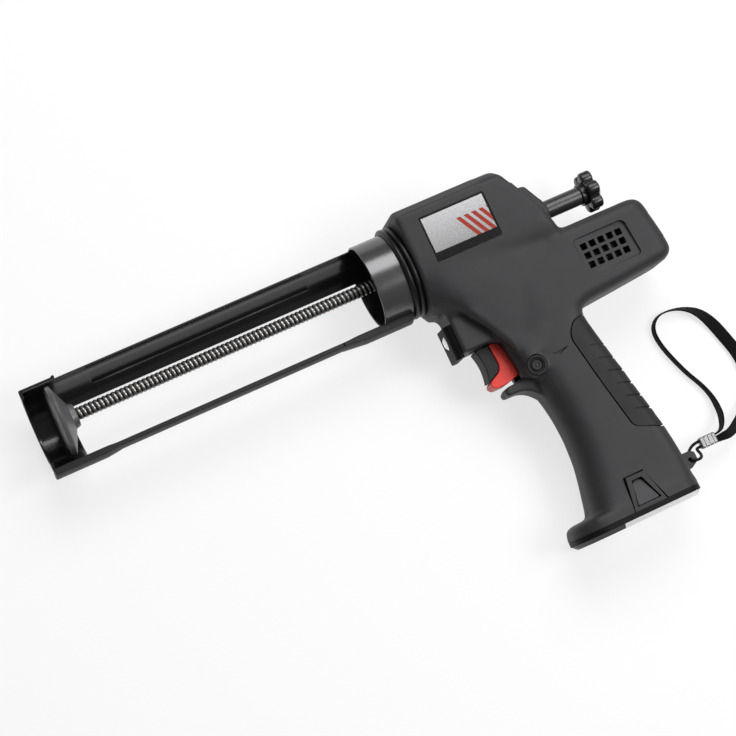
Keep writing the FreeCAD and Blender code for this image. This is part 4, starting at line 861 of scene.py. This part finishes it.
# Where the skin is smoothed further, in order: how many rounds, and a test of the place
SOFT_PLACES = (
    (30, near(100, 33, 14)),
    (30, near(77, -85, 11)),
    (40, within((31, 74), (-42, -1), 12)),
    (25, within((42, FAR), (-36, -4), 12)),
    (30, within((52, FAR), (-32, -9), 15)),
    (30, near(121, -14, 11)),
    (25, near(119, -73, 24)),
    (25, near(119, -73, 16)),
    (20, within((-FAR, FAR), (-189, -148))),
    (20, within((-FAR, FAR), (-196, -180))),
    (50, within((-FAR, 64), (-198, -184))),
    (40, within((66, FAR), (-82, -30), 18)),
    (40, within((80, FAR), (-112, -48), 12)),
    (40, within((-FAR, 95), (-187, -112))),
)


def moulded_form():
    """All outer forms of the housing grown together into one skin with soft valleys."""
    forms = [
        head_form(), flank_form(), lobe_form(), neck_form(), grip_form(), foot_form(), trigger_block_form(),
        hook_form(), boss_form(), selector_boss_form(),
    ]
    whole = placed("form", mesh_of(gathered(forms)))
    skin = whole.modifiers.new("skin", "REMESH")
    skin.mode = "VOXEL"
    skin.voxel_size = sizes().skin_step
    mesh = settled(whole)
    bm = bmesh.new()
    bm.from_mesh(mesh)
    soften(bm, 4)
    for rounds, inside in SOFT_PLACES:
        soften(bm, rounds, inside)
    bm.to_mesh(mesh)
    bm.free()
    return mesh


def pad_layer(gap):
    """The grip's outer layer where the rubber backstrap lies, its front line moved back by a gap."""
    corners = (
        (113.6 + gap, -150.5, 3), (131, -158 + gap, 3), (150, -158.4 + gap), (150, -73),
        (107 + gap, -73 - gap, 4), (99.6 + gap, -82, 5),
    )
    return carved(prism(corners, -30, 30), [grip_form(sizes().pad_depth / MM)])


def pad_notches():
    """Slanting notches round the back of the pad."""
    slabs = []
    for step in range(6):
        slab = block((-11, 12), (-0.65, 0.65), (-40, 40))
        turn = Matrix.Rotation(math.radians(-16), 4, "Z")
        shift = Matrix.Translation(at("z", 120.3 + 2.1 * step, -96 - 9.6 * step, 0))
        bmesh.ops.transform(slab, matrix=shift @ turn, verts=slab.verts[:])
        slabs.append(slab)
    return carved(gathered(slabs), [grip_form(0.9)])


def battery_room():
    return block((81.6, 122.4), (-203, -104), (-15.4, 15.4))


def collar_room():
    return spun((
        (27, 0), (27, 28.2), (31, 28.2), (31, 30.8), (34.8, 30.8), (34.8, 28.2), (38.8, 28.2), (38.8, 11),
        (71, 11), (71, 0)))


def vent_slots():
    """Rows of square holes beside the motor, through both sides."""
    pitch, columns, rows = 6.3, 5, 3
    steps = [(pitch * column, pitch * row) for column in range(columns) for row in range(rows)]
    vents = gathered([
        block((131 + along, 135.4 + along), (-36.7 - down, -32.3 - down), (-34, 34)) for along, down in steps
    ])
    upright = [edge for edge in vents.edges if abs(edge.verts[0].co.z - edge.verts[1].co.z) > 10 * MM]
    rounded(vents, upright, 0.5, 2)
    return vents


def side_recesses():
    """What is sunk into the two sides: the fields round the vents, the labels' rooms and the bolt's rings."""
    shapes = []
    for _, sign, low, high in both_sides(30.7, 45):
        outline = ((127.5, -53.4, 2.5), (166.4, -53.4, 2.5), (164.4, -28, 3.5), (127.5, -28, 3.5))
        field = prism(outline, low, high, rim=1.2, segments=3)
        shapes.append(leaned(field, -0.045 * sign, -0.045 * sign))
    for _, _, low, high in both_sides(32, 40):
        shapes.append(prism(rectangle(*LABEL_ROOM, 1.2), low, high))
    shapes.append(prism(((85, -88), (97.4, -87.3), (90.2, -90.4)), 21.7, 30))
    for _, _, low, high in both_sides(21.6, 26):
        shapes.append(rod(low, high, 6.9, "z", SELECTOR_AXIS))
    return shapes


def room_shapes():
    """Everything that is cut out of the moulded form, inside and outside."""
    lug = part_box("strap_lug")
    latch_notch = (
        (88.7, -203), (112.8, -203), (112.8, -200), (106.2, -177.1), (92.2, -177.1), (88.7, -200),
    )
    gear_room = block((70, 99), (-62, 21), (-20, 20))
    motor_room = rod(98, 157, 18.1, "x", MOTOR_AXIS)
    sleeve_bore = rod(98, 131, 9.1)
    trigger_room = block((43, 74), (-93.3, -64.6), (-8.7, 8.7))
    switch_room = block((73, 106), (-104, -68), (-11, 11))
    below_foot = block((40, 150), (-230, -199.6), (-40, 40))
    bolt_bore = rod(-34, 34, 3.7, "z", SELECTOR_AXIS)
    led_bore = rod(35, 45, 3.1, "x", LAMP_AXIS)
    lug_room = block(*[(lug[0][axis] / MM, lug[1][axis] / MM) for axis in range(3)])
    shapes = [
        collar_room(), vent_slots(), *side_recesses(), gear_room, motor_room, sleeve_bore, trigger_room,
        switch_room, battery_room(), below_foot, bolt_bore, led_bore, lug_room, prism(latch_notch, -30, 30),
    ]
    for place in screw_places():
        shapes += [rod(-40, -12, 3.1, "z", place), rod(-13, 10, 1.5, "z", place)]
    return shapes


def screw_places():
    """Middles of the screws, in millimetres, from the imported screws."""
    screw_width = 7
    groups = []
    for vert in frame["nodes"]["shell_screws"].data.vertices:
        x, y = vert.co.x / MM, vert.co.y / MM
        for group in groups:
            if math.hypot(group[0][0] - x, group[0][1] - y) < screw_width:
                group.append((x, y))
                break
        else:
            groups.append([(x, y)])
    return [tuple((min(row) + max(row)) / 2 for row in zip(*group)) for group in groups]


class CAULKER_OT_housing(bpy.types.Operator):
    """Builds the two moulded shells and the rubber backstrap between them"""
    bl_idname = "caulker.housing"
    bl_label = "Build housing"

    def execute(self, context):
        skin = moulded_form()
        layer = pad_layer(0.0)
        pad = carved(carved(pad_layer(0.9), [skin], "INTERSECT"), [pad_notches(), battery_room()])
        piece("backstrap", pad, soft_rubber(), "housing", "pad_rubber", "grip_pad")
        gap = sizes().seam_gap / MM
        for name, low, high in (("left_shell", -60, gap), ("right_shell", -gap, 60)):
            other_half = block((0, 220), (-230, 60), (low, high))
            shape = carved(skin, [*room_shapes(), layer, other_half])
            piece(name + "_skin", shape, housing_plastic(), "housing", "housing_plastic", name)
        return {"FINISHED"}


# Cradle and gasket
def collar_form():
    return spun((
        (0.4, 26.4), (0, 26.8), (0, 27.4), (0.4, 27.8), (31.4, 27.8), (31.4, 30.4), (34.4, 30.4),
        (34.4, 27.8), (38.4, 27.8), (38.4, 5), (35.4, 5), (35.4, 26.4)))


def trough_form():
    """The bent sheet, with a hollow rib pressed out along it."""
    sheet = softened(spun(((-224, 25.2), (-224, 26.4), (12, 26.4), (12, 25.2)), turn=-70), 0.4)
    rib = spun(((-183, 25.6), (-181, 27.7), (-31, 27.7), (-29, 25.6)), start=-23, turn=-26)
    hollow = spun((
        (-182, 22), (-182, 25.2), (-180, 26.5), (-32, 26.5), (-30, 25.2), (-30, 22)), start=-24.5, turn=-23)
    return carved(carved(sheet, [rib], "UNION"), [hollow])


def bead_form():
    """The low bead inside the trough, beside the rib."""
    profile = ((-181, 25.5), (-181, 25.1), (-178, 24.7), (-34, 24.7), (-31, 25.1), (-31, 25.5))
    return softened(spun(profile, start=-47, turn=-1.9), 0.15)


def cup_form():
    profile = (
        (-226, 21.5), (-226, 27.2), (-225.4, 27.8), (-204.4, 27.8), (-203.6, 28.6), (-202.4, 28.6),
        (-202, 28), (-202, 26.8), (-202.4, 26.4), (-224, 26.4), (-224, 21.5),
    )
    return softened(spun(profile, turn=-180), 0.3)


def rail_form():
    """The bottom rail: a long strip, thicker under the cup and under the collar."""
    strips = []
    for half_width, profile in (
        (8, ((-200, 27.8), (-200, 30.8), (0, 30.8), (0, 27.8))),
        (9, ((-226, 27.8), (-226, 32.2), (-192, 32.2), (-182, 31), (-182, 28.4), (-190, 27.8))),
        (9, ((-30, 28.4), (-30, 31), (-14, 32.6), (17.4, 32.6), (18.9, 30.4), (18.9, 27.8), (-20, 27.8))),
    ):
        half = math.degrees(math.asin(half_width / 27.8))
        strips.append(softened(spun(profile, start=180 - half, turn=2 * half), 0.5))
    return gathered(strips)


def gasket_form():
    """Two round ridges side by side on one ring."""
    ridge = ((-1.6, 29.9), (-1, 30.6), (0, 30.8), (1, 30.6), (1.6, 29.9))
    first, second = ([(middle + step, radius) for step, radius in ridge] for middle in (22, 26))
    return spun([(20, 27.9), (20, 29.2), *first, (24, 28.9), *second, (28, 29.2), (28, 27.9)])


class CAULKER_OT_cradle(bpy.types.Operator):
    """Builds the collar, the trough, the front cup, the bottom rail and the gasket behind them"""
    bl_idname = "caulker.cradle"
    bl_label = "Build cradle"

    def execute(self, context):
        piece("collar_tube", collar_form(), collar_satin(), "cradle", "cradle_paint", "collar")
        piece("trough_sheet", trough_form(), cradle_paint(), "cradle", "cradle_paint", "cartridge_trough")
        # The bead's pale finish is a painted highlight along it.
        piece("trough_bead", bead_form(), painted_bead_highlight(), "cradle", "cradle_paint")
        piece("front_cup_shell", cup_form(), cradle_paint(), "cradle", "cradle_paint", "front_cup")
        piece("bottom_rail_strip", rail_form(), rail_paint(), "cradle", "cradle_paint", "bottom_rail")
        piece(
            "gasket_ring", gasket_form(), gasket_rubber(), "housing", "gasket_rubber", "front_gasket",
            sharp=50)
        return {"FINISHED"}


# Spindle with plunger, sleeve and knob
def thread_form():
    """The ridge of the thread wound along the spindle, round a plain core."""
    pitch = sizes().thread_pitch / MM
    start, end, steps = -208, 150, 20
    turns = round((end - start) / pitch)
    ridge = ((0, 3.7), (0.2, 4.1), (0.4, 4.18), (0.6, 4.1), (0.8, 3.7), (1, 3.7))
    bm = bmesh.new()
    verts = [bm.verts.new(at("x", radius, 0, start + share * pitch)) for share, radius in ridge]
    geom = verts + [bm.edges.new(pair) for pair in zip(verts, verts[1:])]
    bmesh.ops.spin(
        bm, geom=geom, cent=(0, 0, 0), axis=ALONG["x"], dvec=ALONG["x"] * pitch * MM / steps,
        angle=TURN * turns, steps=steps * turns)
    bmesh.ops.remove_doubles(bm, verts=bm.verts[:], dist=CLOSE)
    bmesh.ops.recalc_face_normals(bm, faces=bm.faces[:])
    return gathered([bm, rod(-212, 164.5, 3.66)])


def plunger_form():
    return spun((
        (-212, 0), (-212, 18), (-211.4, 19), (-211.4, 21.5), (-211, 22.6), (-210, 23), (-208.6, 23),
        (-208, 22.5), (-207.6, 21.4), (-202.6, 9.4), (-202.6, 0)))


def star_form():
    """A disc with round lobes on its rim and a neck towards the sleeve."""
    count, reach = 6, 9.4
    lobe = ((157, 0), (157, 3.2), (157.4, 4), (158.4, 4.6), (163.6, 4.6), (164.6, 4), (165, 3.2), (165, 0))
    lobes = []
    for step in range(count):
        angle = TURN * (step + 0.5) / count
        lobes.append(spun(lobe, "x", (reach * math.cos(angle), reach * math.sin(angle))))
    disc = spun(((157.3, 0), (157.3, 9.4), (158, 10.4), (164, 10.4), (164.7, 9.4), (164.7, 0)))
    neck = spun(((154, 4.45), (154, 7.2), (154.3, 7.5), (157.6, 7.5), (157.6, 4.45)))
    return carved(carved(disc, lobes, "UNION"), [neck], "UNION")


class CAULKER_OT_spindle(bpy.types.Operator):
    """Builds the threaded spindle, the plunger, the rear sleeve and the star knob"""
    bl_idname = "caulker.spindle"
    bl_label = "Build spindle"

    def execute(self, context):
        piece(
            "threaded_spindle", thread_form(), thread_steel_painted_crests(), "spindle", "spindle_steel", "spindle",
            sharp=30)
        piece("plunger_plate", plunger_form(), plunger_paint(), "spindle", "plunger_paint", "plunger_disc")
        hub = spun(((-203, 4.4), (-203, 8.6), (-200, 7.6), (-199, 7), (-199, 4.4)))
        piece("plunger_neck", hub, plunger_paint(), "spindle", "plunger_paint", "plunger_hub")
        sleeve = spun(((112, 4.45), (112, 5.6), (112.4, 6), (154, 6), (154, 4.45)))
        piece("sleeve_tube", sleeve, sleeve_black(), "spindle", "spindle_steel", "rear_sleeve")
        piece("knob_star", star_form(), gloss_plastic(), "spindle", "knob_plastic", "star_knob", sharp=40)
        screw = spun(((164.9, 0), (164.9, 5), (166.6, 5), (167.4, 4.2), (167.4, 2), (166.2, 1.7), (166.2, 0)))
        piece("knob_cap_screw", screw, dull_steel(), "spindle", "screw_steel", "knob_screw")
        return {"FINISHED"}


# Trigger, selector, lamp and labels
def lever_form():
    """The trigger's red side, with the stem that meets the switch."""
    outline = (
        (54, -65.2, 1), (58.8, -65.2, 1.5), (61, -68), (65.6, -86.6, 2), (63.8, -90.4, 1.5), (54, -92.7, 2),
        (46.4, -92.7, 1.4), (44.3, -90.2, 1), (45.4, -87.6, 1), (53.6, -83.4, 2.4), (55, -79, 1.8),
    )
    stem = rod(60, 66, 2, "x", (-76, 0))
    return gathered([prism(outline, -8, 8, rim=0.9, segments=3), stem])


def finger_pad_form():
    outline = (
        (44.1, -65.4, 1.4), (46, -73, 4.2), (45.8, -82, 4.2), (44.4, -87), (45.6, -87.1), (53.4, -83, 2.2),
        (54.7, -79, 1.7), (53.7, -65.4),
    )
    return prism(outline, -8, 8, rim=0.9, segments=3)


class CAULKER_OT_trigger(bpy.types.Operator):
    """Builds the trigger's lever and its rubber face"""
    bl_idname = "caulker.trigger"
    bl_label = "Build trigger"

    def execute(self, context):
        piece("trigger_lever", lever_form(), trigger_red(), "trigger", "trigger_red", "trigger")
        piece("trigger_pad", finger_pad_form(), soft_rubber(), "trigger", "trigger_rubber", "trigger_face")
        return {"FINISHED"}


class CAULKER_OT_selector(bpy.types.Operator):
    """Builds the cross bolt above the hook and the rings that it slides in"""
    bl_idname = "caulker.selector"
    bl_label = "Build selector"

    def execute(self, context):
        bolt = spun((
            (-24.5, 0), (-24.5, 2.9), (-23.9, 3.5), (21.9, 3.5), (22.5, 2.9), (22.5, 2.1), (21.9, 1.9),
            (21.9, 1.0), (22.5, 0.8), (22.5, 0)), "z", SELECTOR_AXIS)
        piece("selector_pin", bolt, satin_black(), "selector", "button_plastic", "selector_bolt")
        for side, sign in (("left", 1), ("right", -1)):
            ring = spun([(sign * level, radius) for level, radius in (
                (21.7, 3.9), (21.7, 6.7), (23.1, 6.7), (23.6, 6.2), (23.6, 5.2), (23.1, 4.8), (22.6, 3.9))],
                "z", SELECTOR_AXIS)
            piece(f"selector_ring_{side}", ring, gloss_plastic(), "housing", "button_plastic")
        return {"FINISHED"}


class CAULKER_OT_lamp(bpy.types.Operator):
    """Builds the work lamp's frame and its window"""
    bl_idname = "caulker.lamp"
    bl_label = "Build lamp"

    def execute(self, context):
        outline = ((31, -13, 4.8), (36, -13), (36, 13), (31, 13, 4.8))
        bezel = prism(outline, -66.5, -44, "y", rim=1, segments=3)
        holed = carved(bezel, [rod(25, 40, 5.05, "x", LAMP_AXIS)])
        piece("lamp_frame", holed, band_black(), "housing", "lamp_black", "lamp_bezel")
        lens = spun(((29.8, 0), (30.2, 2.4), (31.2, 4.2), (32.6, 5), (36, 5), (36, 0)), "x", LAMP_AXIS)
        piece("lamp_window", lens, lens_clear(), "housing", "lens_clear", "lamp_lens")
        return {"FINISHED"}


class CAULKER_OT_labels(bpy.types.Operator):
    """Lays the two label plates into their rooms"""
    bl_idname = "caulker.labels"
    bl_label = "Lay labels"

    def execute(self, context):
        film = label_film()
        outline = rectangle((41.7, 86.8), (-7.3, 22.8), 1)
        for side, _, low, high in both_sides(32, 32.6):
            plate = prism(outline, low, high, rim=0.15, segments=2)
            piece(f"label_{side}_film", plate, film, "housing", "label_film", f"label_{side}")
        return {"FINISHED"}


# Battery foot and latches
def latch_form(sign, low, high):
    """A latch's button, whose outer face slopes in towards its top."""
    outline = ((93.1, LATCH_FOOT, 1), (108.1, LATCH_FOOT, 1), (102.4, -181.2, 2.4), (96.3, -181.2, 2.4))
    latch = prism(outline, low, high, rim=0.5, segments=2)
    outer = [vert for vert in latch.verts if abs(vert.co.z) > 22 * MM]
    return leaned(latch, 0, -0.14 * sign, LATCH_FOOT, outer)


class CAULKER_OT_battery(bpy.types.Operator):
    """Builds the battery's foot with its bare plate, and the two latches"""
    bl_idname = "caulker.battery"
    bl_label = "Build battery"

    def execute(self, context):
        band = prism(FOOT_PLAN, -203.2, -199.75, "y")
        piece("battery_base", band, band_black(), "battery", "housing_plastic", "battery_foot")
        plate = prism(FOOT_PLAN, -206, -203.2, "y", rim=2.79, segments=1, ends=(True, False))
        piece("base_plate", plate, plate_film(), "battery", "label_film")
        for side, sign, low, high in both_sides(20.6, 23.9):
            latch = f"latch_{side}"
            button = latch_form(sign, low, high)
            # The latches' finish is the housing plastic painted lighter, a painted highlight.
            piece(f"{latch}_button", button, latch_plastic_painted_lighter(), latch, "button_plastic", latch)
        return {"FINISHED"}


# Springs
def coil(across, centre, low, high, radius, wire, turns):
    """A round wire wound about an axis between two levels, in millimetres."""
    bm = bmesh.new()
    axis = ALONG[across]
    pivot = at(across, *centre, low + wire)
    bmesh.ops.create_circle(bm, segments=10, radius=wire * MM, cap_ends=True)
    aim = arm(across).cross(axis).to_track_quat("Z", "Y").to_matrix().to_4x4()
    place = Matrix.Translation(pivot + arm(across) * (radius - wire) * MM)
    bmesh.ops.transform(bm, matrix=place @ aim, verts=bm.verts[:])
    steps = 24 * turns
    rise = axis * (high - low - 2 * wire) * MM / steps
    bmesh.ops.spin(bm, geom=bm.faces[:], cent=pivot, axis=axis, dvec=rise, angle=TURN * turns, steps=steps)
    bmesh.ops.recalc_face_normals(bm, faces=bm.faces[:])
    return bm


class CAULKER_OT_springs(bpy.types.Operator):
    """Winds the springs behind the trigger and the two latches"""
    bl_idname = "caulker.springs"
    bl_label = "Wind springs"

    def execute(self, context):
        for node, across, body, joint, turns, wire, held_high in (
            ("trigger_spring", "x", "housing", "trigger_pull", 5, 0.4, True),
            ("latch_spring_left", "z", "battery", "latch_left_press", 2, 0.2, False),
            ("latch_spring_right", "z", "battery", "latch_right_press", 2, 0.2, True),
        ):
            low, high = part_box(node)
            axis = "xyz".index(across)
            others = [step for step in range(3) if step != axis]
            middle = (low + high) / 2
            centre = [middle[step] / MM for step in others]
            radius = (high - low)[others[0]] / 2 / MM
            shape = coil(across, centre, low[axis] / MM, high[axis] / MM, radius, wire, turns)
            spring = piece(f"{node}_coil", shape, bright_steel(), body, "gear_steel", node)
            anchor = middle.copy()
            anchor[axis] = (high if held_high else low)[axis]
            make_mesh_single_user(spring)
        return {"FINISHED"}


# Wrist strap
def read_path(route):
    """The points of the open smooth curve along a route; the curve's object goes with its data."""
    data = bpy.data.curves.new("route", "CURVE")
    data.dimensions = "3D"
    line = data.splines.new("NURBS")
    line.points.add(len(route) - 1)
    for point, place in zip(line.points, route):
        point.co = (*place, 1.0)
    line.order_u = 3
    line.use_endpoint_u = True
    line.resolution_u = 10
    mesh = evaluated(placed("route", data))
    points = [vert.co.copy() for vert in mesh.vertices]
    bpy.data.curves.remove(data)
    bpy.data.meshes.remove(mesh)
    return points


def swept(path, section, across, facing, gather=lambda share: 1.0):
    """A small section swept along a path.

    Across gives the section's places on the map, once round. At each share of the way, facing gives the
    section's first direction and gather narrows it.
    """
    bm = bmesh.new()
    layer = bm.loops.layers.uv.new("UVMap")
    rings = []
    travelled = [0.0]
    for first, second in zip(path, path[1:]):
        travelled.append(travelled[-1] + (second - first).length)
    for number, point in enumerate(path):
        ahead = (path[min(number + 1, len(path) - 1)] - path[max(number - 1, 0)]).normalized()
        share = travelled[number] / travelled[-1]
        wide = facing(share, ahead)
        wide = (wide - ahead * wide.dot(ahead)).normalized()
        thick = ahead.cross(wide)
        rings.append([bm.verts.new(point + wide * u * gather(share) + thick * v) for u, v in section])
    count = len(section)
    for number in range(len(rings) - 1):
        for side in range(count):
            corners = ((number, side), (number, side + 1), (number + 1, side + 1), (number + 1, side))
            quad = bm.faces.new([rings[ring][step % count] for ring, step in corners])
            for loop, (ring, step) in zip(quad.loops, corners):
                loop[layer].uv = (across[step], travelled[ring] / MM)
    for ring in (rings[0], rings[-1]):
        bm.faces.new(ring)
    bmesh.ops.recalc_face_normals(bm, faces=bm.faces[:])
    return bm


def cord_form(path, radius):
    steps = 12
    angles = [TURN * step / steps for step in range(steps)]
    circle = [(radius * math.cos(angle), radius * math.sin(angle)) for angle in angles]
    across = [0.5 * step for step in range(steps + 1)]
    return swept(path, circle, across, lambda share, ahead: Vector((0.3, 0.2, 1)))


def part_way(share, start, span):
    """How far a share of the way has come through a span, from 0 to 1."""
    return min(1.0, max(0.0, (share - start) / span))


def webbing_facing(share, ahead):
    """The webbing starts on edge, lies down past the top of its loop and lifts again into the ferrule."""
    on_edge, lying, lifted = 88, 8, 25
    tail = part_way(share, 0.86, 0.12)
    lean = part_way(share, 0.42, 0.2)
    lean = lean * lean * (3 - 2 * lean) * (1 - tail)
    angle = math.radians(on_edge * (1 - lean) * (1 - tail) + lying * lean + lifted * tail)
    return ahead.cross(ALONG["z"]).normalized() * math.cos(angle) + ALONG["z"] * math.sin(angle)


def webbing_gather(share):
    """The webbing narrows to about half its width where the ferrule holds its ends."""
    held, end_share = 0.48, 0.07
    return held + (1 - held) * min(1.0, min(share, 1 - share) / end_share)


def webbing_form(path):
    wide = sizes().webbing_width / 2
    thick = sizes().webbing_depth / 2
    section = [
        (-wide, -0.5 * thick), (-wide + thick, -thick), (wide - thick, -thick), (wide, -0.5 * thick),
        (wide, 0.5 * thick), (wide - thick, thick), (-wide + thick, thick), (-wide, 0.5 * thick),
    ]
    across = [u / MM for u, v in [*section, section[0]]]
    return swept(path, section, across, webbing_facing, webbing_gather)


def ferrule_form():
    """A crimped tube, with three grooves pressed across it."""
    tube = prism(rectangle((158, 170), (-182, -174.4), 1.4), -14, -9, rim=1.2, segments=3)
    grooves = [block((x, x + 1), (-190, -170), (-9.5, -5), rim=0.2) for x in (160.5, 163.5, 166.5)]
    return carved(tube, grooves)


def lug_form():
    low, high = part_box("strap_lug")
    outline = ((133, -190), (142, -190, 1), (148, -186.7, 1.2), (148, -180.8, 1), (145, -179, 1), (133, -179))
    lug = prism(outline, low.z / MM, high.z / MM, rim=0.6, segments=3)
    return carved(lug, [rod(-10, 10, 1.5, "z", (143.2, -184.6))])


class CAULKER_OT_strap(bpy.types.Operator):
    """Builds the wrist strap: lug, thin cord, crimped ferrule and webbing"""
    bl_idname = "caulker.strap"
    bl_label = "Build strap"

    def execute(self, context):
        radius = 1.0 * MM
        cord_path = read_path(CORD_ROUTE)
        strap_path = read_path(STRAP_ROUTE)
        cord = piece(
            "wrist_cord", cord_form(cord_path, radius), braided_black(), "housing", "strap_cord_black",
            "strap_cord")
        crimp = piece(
            "crimp_ferrule", ferrule_form(), crimp_steel(), "housing", "ferrule_steel", "strap_ferrule")
        webbing = piece(
            "wrist_webbing", webbing_form(strap_path), woven_black(), "housing", "strap_webbing_black",
            "strap_webbing")
        piece("lug_eye", lug_form(), housing_plastic(), "housing", "housing_plastic", "strap_lug")
        return {"FINISHED"}


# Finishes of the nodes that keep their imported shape
INSIDE_FINISHES = {
    dull_steel: ("shell_screws", "front_gear_plate", "rear_gear_plate"),
    bright_steel: (
        "gear_pillars", "thrust_bearing", "reduction_axle", "motor_can", "reduction_wheel",
        "reduction_pinion"),
    bush_bronze: ("nut_bush", "drive_nut"),
    contact_brass: ("motor_pinion", "battery_contacts"),
    armature_copper: ("motor_armature",),
    guide_plastic: ("motor_end_cap", "terminal_block"),
    satin_black: ("rear_guide_bush", "trigger_switch"),
    housing_plastic: ("battery_case",),
    cradle_paint: ("cradle_rivets",),
    board_green: ("control_board",),
    cell_wrap: ("battery_cells",),
    led_white: ("lamp_led",),
}


class CAULKER_OT_insides(bpy.types.Operator):
    """Gives the working parts inside the housing their finishes"""
    bl_idname = "caulker.insides"
    bl_label = "Finish insides"

    def execute(self, context):
        for finish, names in INSIDE_FINISHES.items():
            for name in names:
                mesh = frame["nodes"][name].data
                mesh.materials.clear()
                mesh.materials.append(finish())
        return {"FINISHED"}


# Floor, light and camera
def soft_light(name, place, aim, width, height, power):
    data = bpy.data.lights.new(name, "AREA")
    data.shape = "RECTANGLE"
    data.size = width
    data.size_y = height
    data.energy = power
    thing = placed(name, data)
    thing.location = place
    thing.rotation_euler = (Vector(aim) - Vector(place)).to_track_quat("-Z", "Y").to_euler()


def lay_floor():
    """A floor that leans with the tool, which lies on its right side."""
    bm = bmesh.new()
    bmesh.ops.create_grid(bm, x_segments=2, y_segments=2, size=FLOOR_SIZE)
    tilt = math.atan2(FOOT_REST[1] - HEAD_REST[1], HEAD_REST[0] - FOOT_REST[0])
    bmesh.ops.rotate(bm, verts=bm.verts[:], cent=(0, 0, 0), matrix=Matrix.Rotation(-tilt, 3, "X"))
    bmesh.ops.translate(bm, verts=bm.verts[:], vec=at("z", 0, *HEAD_REST))
    floor = placed("floor", mesh_of(bm, "floor"))
    floor.data.materials.append(floor_pale())


def set_camera(scene):
    data = bpy.data.cameras.new("camera")
    data.lens = FOCAL_PIXELS / PICTURE_PIXELS * SENSOR_WIDTH
    data.sensor_width = SENSOR_WIDTH
    data.clip_start = 0.01
    camera = placed("camera", data)
    back = Vector(CAMERA_BACK).normalized()
    up = back.cross(Vector(CAMERA_RIGHT).normalized()).normalized()
    turn = Matrix((up.cross(back), up, back)).transposed()
    camera.matrix_world = Matrix.Translation(CAMERA_PLACE) @ turn.to_4x4()
    scene.camera = camera


class CAULKER_OT_stage(bpy.types.Operator):
    """Lays the pale floor, hangs the soft lights and sets the camera"""
    bl_idname = "caulker.stage"
    bl_label = "Set stage"

    def execute(self, context):
        scene = context.scene
        lay_floor()
        world = bpy.data.worlds.new("studio")
        world.use_nodes = True
        fill(world.node_tree, world.node_tree.nodes["Background"], Color=(1.0, 1.0, 1.0, 1.0), Strength=0.22)
        scene.world = world
        soft_light("key", (0.4, 0.74, 1.05), (0.03, -0.06, 0), 1.1, 0.8, 15)
        soft_light("side", (0.72, -0.34, 1.05), (0.08, -0.1, 0), 0.6, 0.5, 9)
        set_camera(scene)
        scene.view_settings.view_transform = "Standard"
        return {"FINISHED"}


class CAULKER_PT_panel(bpy.types.Panel):
    """Lists the sizes, the colours and the pieces"""
    bl_idname = "CAULKER_PT_panel"
    bl_label = "Cordless caulking tool"
    bl_space_type = "VIEW_3D"
    bl_region_type = "UI"
    bl_category = "Caulker"

    def draw(self, context):
        column = self.layout.column()
        for group in (sizes(), colours()):
            for name in group.__annotations__:
                column.prop(group, name)
        for operator in OPERATORS:
            column.operator(operator.bl_idname)


OPERATORS = (
    CAULKER_OT_stage, CAULKER_OT_strap, CAULKER_OT_housing, CAULKER_OT_cradle, CAULKER_OT_spindle,
    CAULKER_OT_trigger, CAULKER_OT_selector, CAULKER_OT_lamp, CAULKER_OT_labels, CAULKER_OT_battery,
    CAULKER_OT_springs, CAULKER_OT_insides,
)
CLASSES = (CaulkerSizes, CaulkerColours, *OPERATORS, CAULKER_PT_panel)


def register():
    for item in CLASSES:
        bpy.utils.register_class(item)
    bpy.types.Scene.caulker_sizes = PointerProperty(type=CaulkerSizes)
    bpy.types.Scene.caulker_colours = PointerProperty(type=CaulkerColours)


def unregister():
    del bpy.types.Scene.caulker_colours
    del bpy.types.Scene.caulker_sizes
    for item in reversed(CLASSES):
        bpy.utils.unregister_class(item)


def main():
    register()
    bpy.ops.caulker.stage()
    bpy.ops.caulker.strap()
    bpy.ops.caulker.housing()
    bpy.ops.caulker.cradle()
    bpy.ops.caulker.spindle()
    bpy.ops.caulker.trigger()
    bpy.ops.caulker.selector()
    bpy.ops.caulker.lamp()
    bpy.ops.caulker.labels()
    bpy.ops.caulker.battery()
    bpy.ops.caulker.springs()
    bpy.ops.caulker.insides()


if __name__ == "__main__":
    main()
